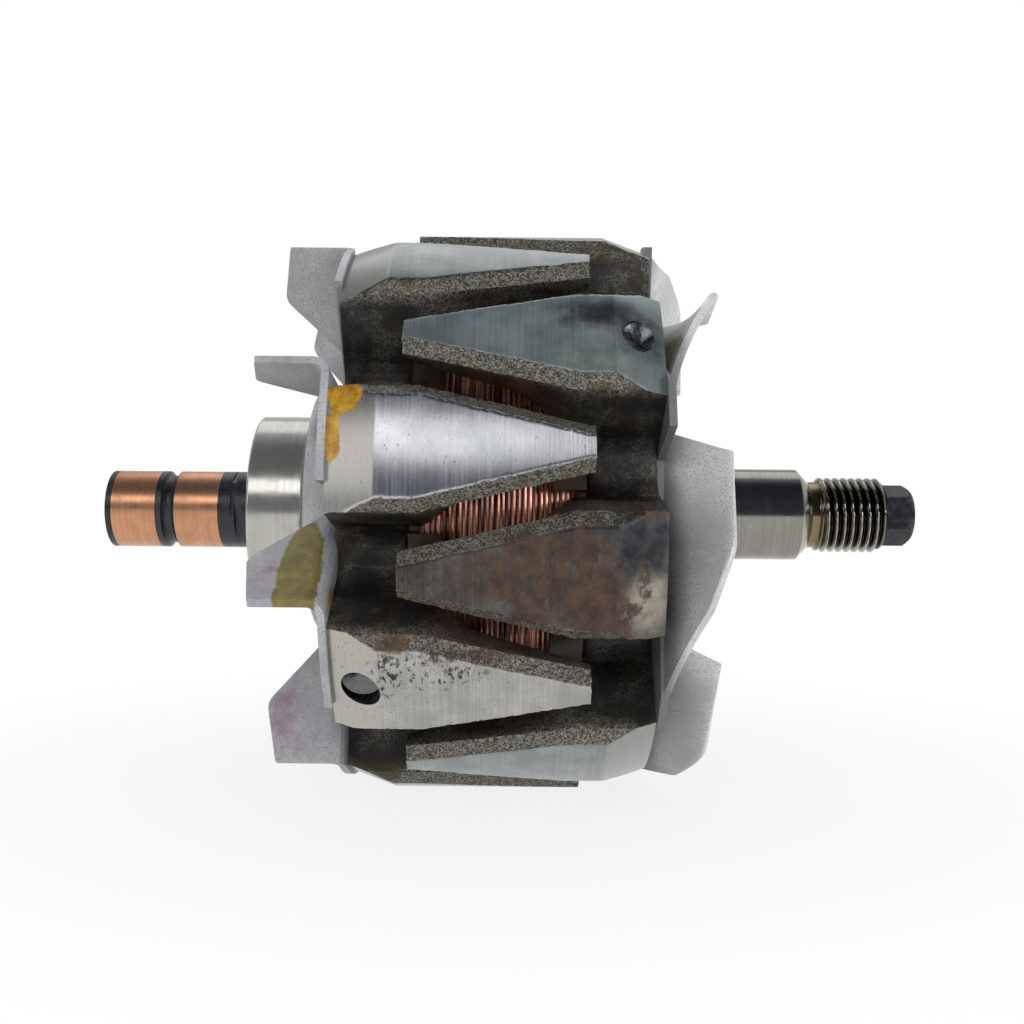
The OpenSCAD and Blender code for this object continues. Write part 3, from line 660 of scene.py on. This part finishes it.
def piece(name, shape, finishes, body, replaced, sharp=38):
    """A mesh object that rides on a body and stands for a CAD node."""
    mesh = shape.mesh(name, MM)
    for finish in finishes:
        mesh.materials.append(finish)
    mesh.polygons.foreach_set("material_index", shape.finish)
    mesh.validate()
    outward(mesh)
    mesh.polygons.foreach_set("use_smooth", [True] * len(mesh.polygons))
    mesh.set_sharp_from_angle(angle=math.radians(sharp))
    made = bpy.data.objects.new(name, mesh)
    bpy.context.scene.collection.objects.link(made)
    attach(made, body)
    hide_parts(replaced)


def lathe_rows(profile, steps):
    """Rings of points from (station, radius) pairs. A radius may be a list around the shaft."""
    angles = np.radians(np.arange(steps) * 360 / steps)
    rows = []
    for x, r in profile:
        r = np.broadcast_to(np.asarray(r, float), (steps,))
        rows.append(np.stack([np.full(steps, x), -r * np.cos(angles), -r * np.sin(angles)], 1))
    return np.array(rows)


# Pole cores


def face_half(s):
    slope = (CLAW_ROOT_HALF - CLAW_TIP_HALF) / (CLAW_LEN - TAPER_START)
    return CLAW_ROOT_HALF - max(0.0, s - TAPER_START) * slope


def turned_r(s):
    """Radius that the lathe left at a distance from the core's outer face."""
    return min(CLAW_R, CLAW_R - CHAMFER_DROP + CHAMFER_DROP * s / CHAMFER_LEN)


def under_r(s):
    """Radius of a claw's underside at a distance from the core's outer face."""
    if s < WEB_T:
        return UNDER_WEB_R
    share = max(0.0, s - WEB_T - UNDER_FLAT) / (CLAW_LEN - WEB_T - UNDER_FLAT)
    return UNDER_ROOT_R + (UNDER_TIP_R - UNDER_ROOT_R) * share


def claw_loop(s):
    """Cross-section of a claw as (tangential, radial, roughness) before the lathe cut it."""
    half = face_half(s)
    body = half + BEVEL_W
    shoulder = math.sqrt(CLAW_R ** 2 - half ** 2) - BEVEL_D
    low = math.sqrt(max(under_r(s) ** 2 - body ** 2, 1.0))
    draft = DRAFT * smooth(TAPER_START, TAPER_START + DRAFT_RUN, s)
    foot = max(body - draft * (shoulder - low), FOOT_MIN_HALF)
    inner = half - BEVEL_OVERLAP * min(BEVEL_W, half)
    top = shoulder + BEVEL_D * (1 + BEVEL_OVERLAP)
    side = []
    for t in np.linspace(0, 1, WALL_POINTS, endpoint=False):
        side.append((foot + (body - foot) * t, low + (shoulder - low) * t, WALL_GRAIN))
    for t in np.linspace(0, 1, BEVEL_POINTS, endpoint=False):
        grain = BEVEL_GRAIN - BEVEL_GRAIN_FALL * t
        side.append((body + (inner - body) * t, shoulder + (top - shoulder) * t, grain))
    crown = [(z, math.sqrt((CLAW_R + CROWN_RISE) ** 2 - z * z), 0.0)
             for z in np.linspace(inner, -inner, CROWN_POINTS)]
    under = [(z, math.sqrt(max(under_r(s) ** 2 - z * z, 1.0)), UNDER_GRAIN)
             for z in np.linspace(-foot, foot, UNDER_POINTS)[1:-1]]
    return np.array(side + crown + [(-z, y, a) for z, y, a in reversed(side)] + under)


def roughen(point, seed):
    """Forged unevenness in mm, from coarse lumps and a fine grain."""
    at = Vector(point) + Vector((seed * 7.3, seed * 3.1, 0))
    coarse = noise.noise(at * LUMP_SCALE)
    fine = noise.fractal(at * GRAIN_SCALE, 0.8, 2.1, 3)
    return LUMP_SHARE * coarse + GRAIN_SHARE * fine


def claw_rows(seed):
    """Rings of one claw, drawn with its middle along +Y and its root at the origin."""
    rows = []
    for s in np.concatenate([np.linspace(0, CHAMFER_LEN, CHAMFER_STEPS),
                             np.linspace(CHAMFER_LEN, CLAW_LEN, FACE_STEPS)[1:]]):
        loop = claw_loop(s)
        plane = loop[:, :2]
        way = np.roll(plane, -1, 0) - np.roll(plane, 1, 0)
        normal = np.stack([way[:, 1], -way[:, 0]], 1)
        normal /= np.linalg.norm(normal, axis=1)[:, None]
        lumps = np.array([roughen((s, p[0], p[1]), seed) for p in plane])
        plane = plane + normal * (lumps * loop[:, 2])[:, None]
        plane = plane * np.minimum(1, turned_r(s) / np.linalg.norm(plane, axis=1))[:, None]
        end = END_GRAIN * lumps * (s == CLAW_LEN)
        rows.append(np.stack([s + end, plane[:, 1], plane[:, 0]], 1))
    return np.array(rows)


def web_outline():
    """Angle and radius around the web: rounded valleys, and an overlap under each claw."""
    body = CLAW_ROOT_HALF + BEVEL_W
    pitch = math.radians(CLAW_PITCH)
    centre = (body + VALLEY_R) / math.sin(pitch / 2)
    tangent = pitch / 2 - math.atan2(body, centre * math.cos(pitch / 2))
    outline = []
    for k in range(CLAW_COUNT):
        for j in range(VALLEY_STEPS):
            turn = (j / VALLEY_STEPS - 0.5) * pitch
            away = abs(turn)
            if away <= tangent:
                dip = math.sqrt(VALLEY_R ** 2 - (centre * math.sin(away)) ** 2)
                r = centre * math.cos(away) - dip
            else:
                aside = math.sin(max(pitch / 2 - away, SMALL_ANGLE))
                r = min((body - WEB_LAP) / aside, WEB_REACH)
            outline.append((k * pitch + turn + pitch / 2, r))
    return np.array(outline).T


def web_rows(seed):
    """Rings of the web around its bore and over its valleys, from its outer to its inner face."""
    angles, reach = web_outline()
    cos, sin = np.cos(angles), np.sin(angles)
    outer_face = [(WEB_INSET, share) for share in (0, 0.5, 1)]
    rim = [(s, 1) for s in np.linspace(0, WEB_T, RIM_STEPS)[1:]]
    inner_face = [(WEB_T, share) for share in (0.75, 0.5, 0)]
    rows = []
    for s, share in outer_face + rim + inner_face:
        r = SEAT_R + (reach - SEAT_R) * share
        if share == 1:
            from_edge = min(s, WEB_T - s)
            lumps = np.array([roughen((s, y, z), seed) for y, z in zip(r * cos, r * sin)])
            r = r + WEB_GRAIN * lumps - WEB_ROUND_DROP * max(0, 1 - from_edge / WEB_ROUND_LEN) ** 2
        rows.append(np.stack([np.full(len(r), s), r * cos, r * sin], 1))
    return np.array(rows)


def placed(rows, rear, angle):
    """Puts rows drawn along +Y on the rear or the front core, at an angle around the shaft."""
    x = REAR_FACE + rows[..., 0] if rear else FRONT_FACE - rows[..., 0]
    return spun(np.stack([x, -rows[..., 1], -rows[..., 2]], -1), angle)


def drill_rings(x, angle, depth):
    """Rings of a drill with a pointed end, from outside the claw inwards."""
    out, side = around(0, 1, angle), around(0, 1, angle + 90)
    turns = np.radians(np.arange(DRILL_STEPS) * 360 / DRILL_STEPS)
    circle = np.cos(turns)[:, None] * np.array([1, 0, 0]) + np.sin(turns)[:, None] * side
    point = depth + DRILL_R * DRILL_POINT
    return [np.array([x, 0, 0]) + out * (CLAW_R - down) + r * circle
            for down, r in ((-DRILL_LEAD, DRILL_R), (depth, DRILL_R), (point, DRILL_END_R))]


def drilled(rows, rings):
    """One claw with a hole. Returns points, faces and a flag on the faces of the hole."""
    pair = []
    for number, skin in enumerate((rows, rings)):
        part = Shape()
        part.grid(skin)
        mesh = part.mesh("drilling", 1)
        outward(mesh)
        mesh.materials.append(bpy.data.materials.new("drilling_%d" % number))
        made = bpy.data.objects.new("drilling", mesh)
        bpy.context.scene.collection.objects.link(made)
        pair.append(made)
    claw, cutter = pair
    cut = claw.modifiers.new("drill", "BOOLEAN")
    cut.object = cutter
    cut.operation = "DIFFERENCE"
    cut.solver = "EXACT"
    cut.material_mode = "TRANSFER"
    result = claw.evaluated_get(bpy.context.evaluated_depsgraph_get()).to_mesh()
    points = np.array([v.co[:] for v in result.vertices])
    faces = [tuple(p.vertices) for p in result.polygons]
    bored = [p.material_index == 1 for p in result.polygons]
    for made in pair:
        bpy.data.objects.remove(made)
    return points, faces, bored


def pole_core(rear, first, looks, hole_claw, hole_at, hole_depth, seed):
    """One core: a web and eight claws, each with its own finish, one of them drilled."""
    core = Shape()
    core.grid(placed(web_rows(seed), rear, first), loop=True)
    hole_finish = max(looks.values()) + 1
    for k in range(CLAW_COUNT):
        angle = first + k * CLAW_PITCH
        rows = placed(claw_rows(seed + k + 1), rear, angle)
        look = looks.get(k, 0)
        if k != hole_claw:
            core.grid(rows, look)
            continue
        x = REAR_FACE + hole_at if rear else FRONT_FACE - hole_at
        points, faces, bored = drilled(rows, drill_rings(x, angle, hole_depth))
        core.add(points, faces, [hole_finish if flag else look for flag in bored])
    return core


# Coil


def wire_ring(k, x0, x1, outer):
    """Sections of one turn of wire, which wanders a little to the sides."""
    pitch = (x1 - x0 - 2 * WIRE_R) / (COIL_TURNS - 1)
    lift = WIRE_LIFT * noise.noise(Vector((k * 1.7, 0.3, 5.1)))
    section = [polar(WIRE_R, 360 * j / WIRE_SIDES) for j in range(WIRE_SIDES)]
    rows = []
    for i in range(COIL_STEPS):
        angle = 360 * i / COIL_STEPS
        y, z = polar(1, angle)
        drift = WIRE_DRIFT * noise.noise(Vector((0.9 * y, 0.9 * z, k * 0.9)))
        wave = WIRE_WAVE * noise.noise(Vector((2 * y, 2 * z, k * 2.3)))
        x = np.clip(x0 + WIRE_R + k * pitch + drift, x0 + WIRE_R, x1 - WIRE_R)
        r = outer - WIRE_R - WIRE_SINK + lift + wave
        rows.append([around(x + c, min(r + t, outer), angle) for c, t in section])
    return rows


def coil():
    """Turns of wire side by side over a core for the deeper layers, dark as painted shade."""
    low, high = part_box("field_winding")
    x0, x1, outer = low.x / MM, high.x / MM, high.z / MM
    deep = outer - COIL_CORE_SINK
    made = Shape()
    made.grid(lathe_rows([(x0, COIL_INNER_R), (x0, deep), (x1, deep), (x1, COIL_INNER_R)], COIL_STEPS),
              loop=True)
    for k in range(COIL_TURNS):
        made.grid(wire_ring(k, x0, x1, outer), loop=True)
    return made


# Front fan

# Inner and outer ends of a blade's foot, and of its free edge
FOOT = (polar(32.8, -35.7), polar(FRONT_FAN_R, 25.8))
TIP = (polar(36.0, -26.7), polar(FRONT_FAN_R, 0))


def blade_mid(t, s):
    """Middle of a blade's sheet: t runs along its foot and s from the foot to its free edge."""
    root = FOOT[0] + (FOOT[1] - FOOT[0]) * t
    tip = TIP[0] + (TIP[1] - TIP[0]) * t
    bend = root + (tip - root) * BEND_SHARE
    at = (root * (1 - s) + bend * s) * (1 - s) + (bend * (1 - s) + tip * s) * s
    rise = (BLADE_INNER_H + (BLADE_OUTER_H - BLADE_INNER_H) * t) * (2 * s * (1 - s) * BEND_LIFT + s * s)
    return np.array([FAN_T / 2 + rise, at[0], at[1]])


def blade_normal(t, s, step=0.01):
    along = blade_mid(t + step, s) - blade_mid(t - step, s)
    across = blade_mid(t, s + step) - blade_mid(t, s - step)
    normal = np.cross(along, across)
    return normal / np.linalg.norm(normal)


def blade_rows():
    """Closed sections of one blade from its inner to its outer end, with a rounded free edge."""
    half = FAN_T / 2
    rows = []
    for t in np.linspace(0, 1, BLADE_COLUMNS):
        cut = 1 - CORNER_CUT * max(0, (t - CORNER_START) / (1 - CORNER_START)) ** 2
        shares = np.linspace(0, 1, BLADE_ROWS) * cut
        mids = [blade_mid(t, s) for s in shares]
        normals = [blade_normal(t, s) for s in shares]
        tip_way = mids[-1] - mids[-2]
        tip_way = tip_way / np.linalg.norm(tip_way)
        top = [m + half * q for m, q in zip(mids, normals)]
        low = [m - half * q for m, q in zip(mids, normals)]
        top[-1] = top[-1] - EDGE_BACK * tip_way
        low[-1] = low[-1] - EDGE_BACK * tip_way
        lip = [mids[-1] + half * (across * normals[-1] + beyond * tip_way)
               for across, beyond in EDGE_ROUND]
        rows.append(top + lip + low[::-1])
    return np.array(rows)


def lobe_corners():
    """Corners of the flat lobe under a blade."""
    way = (FOOT[1] - FOOT[0]) / np.linalg.norm(FOOT[1] - FOOT[0])
    lap = FAN_T * np.array([way[1], -way[0]])
    past = 4 * FAN_T
    inner = polar(FRONT_PLATE_R - 2 * FAN_T, LOBE_INNER_ANGLE)
    rim = polar(FRONT_FAN_R, LOBE_RIM_ANGLE)
    out = (rim - inner) / np.linalg.norm(rim - inner)
    return [FOOT[0] + lap, FOOT[1] + lap + past * way, rim + past * out, inner]


def plate_reach(angle, corners):
    """Radius of the plate's edge at an angle: the round plate or the far side of a lobe."""
    ray = polar(1, angle)
    reach = FRONT_PLATE_R
    for k in range(len(corners)):
        a, b = corners[k], corners[(k + 1) % len(corners)]
        d = b - a
        det = ray[0] * -d[1] + ray[1] * d[0]
        if abs(det) < 1e-9:
            continue
        r = (a[0] * -d[1] + a[1] * d[0]) / det
        u = (ray[0] * a[1] - ray[1] * a[0]) / det
        if 0 <= u <= 1 and r > 0:
            reach = max(reach, min(r, FRONT_FAN_R))
    return reach


def front_fan():
    """A flat plate with lobes, and a curled blade on each lobe."""
    corners = lobe_corners()
    sector = []
    for j in range(PLATE_STEPS):
        angle = j / PLATE_STEPS * FRONT_BLADE_PITCH
        sector.append(max(plate_reach(angle + FRONT_BLADE_PITCH * turn, corners)
                          for turn in (-2, -1, 0, 1)))
    edge = np.array(sector * FRONT_BLADES)
    outer = FRONT_FACE + FAN_T
    profile = [(FRONT_FACE, FAN_BORE_R), (FRONT_FACE, FAN_RING_R), (FRONT_FACE, edge),
               (outer, edge), (outer, FAN_RING_R), (outer, FAN_BORE_R)]
    made = Shape()
    made.grid(spun(lathe_rows(profile, len(edge)), FRONT_BLADE_ANGLE), loop=True)
    sheet = blade_rows() * (1, -1, -1) + (FRONT_FACE, 0, 0)
    for k in range(FRONT_BLADES):
        made.grid(spun(sheet, FRONT_BLADE_ANGLE + k * FRONT_BLADE_PITCH))
    return made


# Shaft


def seat_profile():
    """Slip ring stub, bearing seat, collar, core seat, journal and relief neck."""
    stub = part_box("shaft")[0].x / MM
    rear, front = [corner.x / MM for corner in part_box("bearing_inner_ring")]
    spacer_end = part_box("front_spacer")[1].x / MM
    rings = [(stub, STUB_R - STUB_CHAMFER), (stub + STUB_CHAMFER, STUB_R), (rear, STUB_R),
             (rear, BEARING_SEAT_R - SEAT_CHAMFER), (rear + SEAT_CHAMFER, BEARING_SEAT_R),
             (front, BEARING_SEAT_R), (front, COLLAR_R), (REAR_FACE, COLLAR_R),
             (REAR_FACE, CORE_SEAT_R), (spacer_end, CORE_SEAT_R)]
    rings += [(x, JOURNAL_R) for x in np.linspace(spacer_end, JOURNAL_END, JOURNAL_ROWS)]
    return rings + [(JOURNAL_END + EDGE_LEN, JOURNAL_R - EDGE_DROP),
                    (NECK_X - EDGE_LEN, NECK_R + EDGE_LEN), (NECK_X, NECK_R), (THREAD_X, NECK_R)]


def thread_profile(turns):
    """A rolled helix that fades out at both ends."""
    rings = []
    for x in np.arange(THREAD_X, HEX_X + 0.001, THREAD_PITCH / THREAD_STEPS):
        phase = ((x - THREAD_X) / THREAD_PITCH - turns) % 1
        flank = np.clip(np.abs(phase - 0.5) * FLANK_SLOPE - FLANK_ROOT, 0, 1)
        fade = smooth(*THREAD_FADE_OUT, x) * smooth(*THREAD_FADE_IN, x)
        full = smooth(THREAD_X, THREAD_X + THREAD_CHAMFER, x) * smooth(HEX_X, HEX_X - THREAD_RUN_OUT, x)
        crest = THREAD_R - THREAD_CHAMFER * (1 - full)
        rings.append((x, crest - THREAD_DEPTH * (1 - flank) * fade))
    return rings


def hexagon_profile(turns):
    """The holding hexagon with a turned chamfer at its end."""
    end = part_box("shaft")[1].x / MM
    corner = (turns * 360 - HEX_ANGLE + 30) % 60 - 30
    across = HEX_HALF / np.cos(np.radians(30 - np.abs(corner)))
    widest = HEX_HALF / math.cos(math.radians(30))
    bevel = end - HEX_CHAMFER
    rings = []
    near = 2 * HEX_RING_GAP
    for x in (HEX_X, HEX_X + HEX_LEAD, bevel - near, bevel, end - near, end - HEX_RING_GAP, end):
        rings.append((x, np.minimum(across, widest - max(0, x - bevel))))
    return rings


def shaft():
    """Turned steps, a rolled helix and a hexagon, as rings along the shaft."""
    turns = np.arange(SHAFT_STEPS) / SHAFT_STEPS
    made = Shape()
    made.grid(lathe_rows(seat_profile() + thread_profile(turns) + hexagon_profile(turns), SHAFT_STEPS))
    return made


# The pieces and their finishes

# Finish number of the claws that have a look of their own
REAR_LOOKS = {0: 1, 1: 2}
FRONT_LOOKS = {0: 1, 7: 2}

rear_finishes = [
    claw_material("rear_claws", True, face=(0.16, 0.18, 0.18), light=(0.27, 0.29, 0.285),
                  chamfer=(0.24, 0.235, 0.20)),
    claw_material("rear_claw_bright", True, face=(0.36, 0.375, 0.40), light=(0.54, 0.55, 0.565),
                  chamfer=(0.46, 0.42, 0.33), pits=0.64, stains_and_painted_light=BRIGHT_STAINS),
    claw_material("rear_claw_pitted", True, face=(0.34, 0.335, 0.315), light=(0.50, 0.49, 0.465),
                  chamfer=(0.44, 0.41, 0.34), pits=0.62, stains_and_painted_light=PITTED_STAINS),
    drilled_material(),
]
front_finishes = [
    claw_material("front_claws", False),
    claw_material("front_claw_rusted", False, face=(0.050, 0.044, 0.040), light=(0.125, 0.113, 0.10),
                  chamfer=(0.12, 0.115, 0.105), rough=0.34, stains_and_painted_light=RUSTED_STAINS),
    claw_material("front_claw_blued", False, face=(0.15, 0.185, 0.20), light=(0.29, 0.335, 0.34),
                  chamfer=(0.20, 0.235, 0.235), rough=0.34, metal=0.5, stains_and_painted_light=BLUED_STAINS_AND_SHEEN),
    drilled_material(),
]
# The front fan's zinc is painted lighter than the rear fan's, as painted light on blades that face away
# from the key lamp.
front_zinc = zinc_material("front_zinc", (0.60, 0.62, 0.625), (0.82, 0.84, 0.835),
                           FRONT_STAINS_AND_SHADE, FRONT_BEND_SHADE)

rear_core = pole_core(True, REAR_CLAW, REAR_LOOKS, hole_claw=1, hole_at=4.9, hole_depth=3.4, seed=11)
front_core = pole_core(False, FRONT_CLAW, FRONT_LOOKS, hole_claw=7, hole_at=3.6, hole_depth=1.6, seed=41)
piece("forged_rear_core", rear_core, rear_finishes, "rotor", "rear_pole_core")
piece("forged_front_core", front_core, front_finishes, "rotor", "front_pole_core")
piece("wound_coil", coil(), [wire_material()], "rotor", "field_winding")
piece("curled_front_fan", front_fan(), [front_zinc], "rotor", "front_fan")
piece("threaded_shaft", shaft(), [shaft_material()], "rotor", "shaft", sharp=30)

fibre = plain_material("amber_fibre", (0.009, 0.005, 0.002), (0.050, 0.024, 0.008), 0.5, 0.40, coat=0.1)
rubber = plain_material("seal_rubber", (0.012, 0.012, 0.012), (0.045, 0.043, 0.040), 1.4, 0.5)
copper = turned_material("ring_copper", (0.56, 0.27, 0.15), (0.68, 0.36, 0.21), 0.50, 0.26,
                         worn=(0.46, 0.21, 0.11), metallic=0.85)
NODE_FINISHES = {
    "core_yoke": plain_material("yoke_iron", (0.03, 0.028, 0.025), (0.09, 0.085, 0.08), 1.2, 0.4,
                                metallic=0.8),
    "coil_bobbin": plain_material("bobbin_gloss", (0.005, 0.004, 0.003), (0.020, 0.012, 0.008),
                                  0.6, 0.42, coat=0.1),
    "rear_coil_petals": fibre,
    "front_coil_petals": fibre,
    "rear_fan": zinc_material("rear_zinc", (0.38, 0.395, 0.42), (0.55, 0.57, 0.585), REAR_STAINS_AND_HIGHLIGHT),
    "front_spacer": turned_material("spacer_steel", (0.20, 0.20, 0.20), (0.46, 0.45, 0.43), 0.25, 0.24),
    "bearing_inner_ring": turned_material("inner_ring_steel", (0.40, 0.40, 0.39), (0.66, 0.65, 0.63),
                                          0.20, 0.16),
    "bearing_outer_ring": turned_material("outer_ring_steel", (0.48, 0.475, 0.44), (0.56, 0.55, 0.51),
                                          0.60, 0.15, worn=(0.44, 0.42, 0.36), metallic=0.75),
    "bearing_balls": turned_material("ball_steel", (0.6, 0.6, 0.6), (0.8, 0.8, 0.8), 0.5, 0.08),
    "bearing_cage": turned_material("cage_brass", (0.40, 0.27, 0.10), (0.66, 0.48, 0.20), 0.4, 0.26),
    "bearing_rear_seal": rubber,
    "bearing_front_seal": rubber,
    "slip_ring_moulding": plain_material("slip_ring_moulding", (0.008, 0.009, 0.013),
                                         (0.030, 0.034, 0.046), 0.9, 0.26),
    "outer_slip_ring": copper,
    "inner_slip_ring": copper,
}
for node, finish in NODE_FINISHES.items():
    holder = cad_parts[node]
    holder.data.materials.clear()
    holder.data.materials.append(finish)


# Studio


def seen_directly(n):
    """1 for rays from the camera, and for those that metal or glass sends on."""
    path = n.add("ShaderNodeLightPath")
    bright = n.math("MAXIMUM", path.outputs["Is Glossy Ray"], path.outputs["Is Transmission Ray"])
    return n.math("MAXIMUM", path.outputs["Is Camera Ray"], bright)


def floor():
    """A pale floor that turns plain white away from the object's shadow."""
    half = FLOOR_HALF * MM
    mesh = bpy.data.meshes.new("floor")
    corners = [(-half, -half, 0), (half, -half, 0), (half, half, 0), (-half, half, 0)]
    mesh.from_pydata(corners, [], [(0, 1, 2, 3)])
    made = bpy.data.objects.new("floor", mesh)
    made.location.z = FLOOR_Z * MM
    bpy.context.scene.collection.objects.link(made)
    finish, n = material("floor")
    where = n.add("ShaderNodeTexCoord").outputs["Object"]
    away = n.vector("LENGTH", n.vector("MULTIPLY", where, (0.7, 1.0, 1.0)))
    shown = n.math("MULTIPLY", seen_directly(n), n.step(away, 0.03, 0.12, 0.84, 1.0))
    paper = n.add("ShaderNodeBsdfDiffuse")
    n.put(paper.inputs["Color"], (0.82, 0.81, 0.78))
    white = n.add("ShaderNodeEmission")
    both = n.add("ShaderNodeMixShader")
    n.put(both.inputs[0], shown)
    n.tree.links.new(paper.outputs[0], both.inputs[1])
    n.tree.links.new(white.outputs[0], both.inputs[2])
    output = n.add("ShaderNodeOutputMaterial")
    n.tree.links.new(both.outputs[0], output.inputs["Surface"])
    mesh.materials.append(finish)


def studio_world():
    """Soft light from all around, and a white backdrop that reflections show behind the object."""
    world = bpy.data.worlds.new("studio")
    bpy.context.scene.world = world
    world.use_nodes = True
    n = Nodes(world.node_tree)
    _, depth, height = n.parts(n.add("ShaderNodeTexCoord").outputs["Generated"])
    path = n.add("ShaderNodeLightPath")
    backdrop = n.step(depth, -0.15, 0.45, 0.10, 1.0)
    room = n.math("MULTIPLY", backdrop, n.step(height, 0.05, 0.50, 1.0, 0.5))
    mirrored = n.blend(path.outputs["Is Camera Ray"], room, 1.0)
    soft = n.step(height, -0.2, 0.9, 0.34, 0.56)
    cool = n.mix(backdrop, (0.70, 0.88, 1.25), (1.0, 1.0, 1.0))
    shade = n.add("ShaderNodeBackground")
    n.put(shade.inputs["Strength"], n.blend(seen_directly(n), soft, mirrored))
    n.put(shade.inputs["Color"], n.mix(path.outputs["Is Glossy Ray"], (1.0, 1.0, 1.0), cool))
    output = n.add("ShaderNodeOutputWorld")
    n.tree.links.new(shade.outputs[0], output.inputs["Surface"])


def soft_light(name, place, size, power, colour=(1, 1, 1)):
    """An area lamp that faces the middle of the object. Its place and size are in metres."""
    data = bpy.data.lights.new(name, "AREA")
    data.shape = "RECTANGLE"
    data.size, data.size_y = size
    data.energy = power
    data.color = colour
    lamp = bpy.data.objects.new(name, data)
    lamp.location = place
    lamp.rotation_mode = "QUATERNION"
    lamp.rotation_quaternion = (-Vector(place)).to_track_quat("-Z", "Y")
    bpy.context.scene.collection.objects.link(lamp)


def camera():
    data = bpy.data.cameras.new("camera")
    data.lens = CAMERA_LENS
    data.clip_start, data.clip_end = 0.01, 20
    made = bpy.data.objects.new("camera", data)
    raised = math.radians(CAMERA_ELEVATION)
    back = Vector((0, -math.cos(raised), math.sin(raised)))
    made.location = back * CAMERA_DISTANCE * MM
    level = (-back).to_track_quat("-Z", "Y").to_matrix().to_4x4()
    turn = level @ Matrix.Rotation(math.radians(CAMERA_ROLL), 4, "Z")
    made.rotation_mode = "QUATERNION"
    made.rotation_quaternion = turn.to_quaternion()
    bpy.context.scene.collection.objects.link(made)
    bpy.context.scene.camera = made


floor()
studio_world()
camera()
soft_light("key", (-0.17, -0.58, 0.36), (0.48, 0.20), 0.70, (1.0, 0.99, 0.97))
soft_light("side", (-0.62, -0.46, 0.28), (0.40, 0.36), 0.5, (1.0, 0.98, 0.94))
soft_light("right", (0.62, -0.46, 0.22), (0.36, 0.36), 2.0)
soft_light("top", (0.05, 0.40, 0.58), (0.70, 0.40), 0.75)
bpy.context.scene.view_settings.view_transform = "Standard"
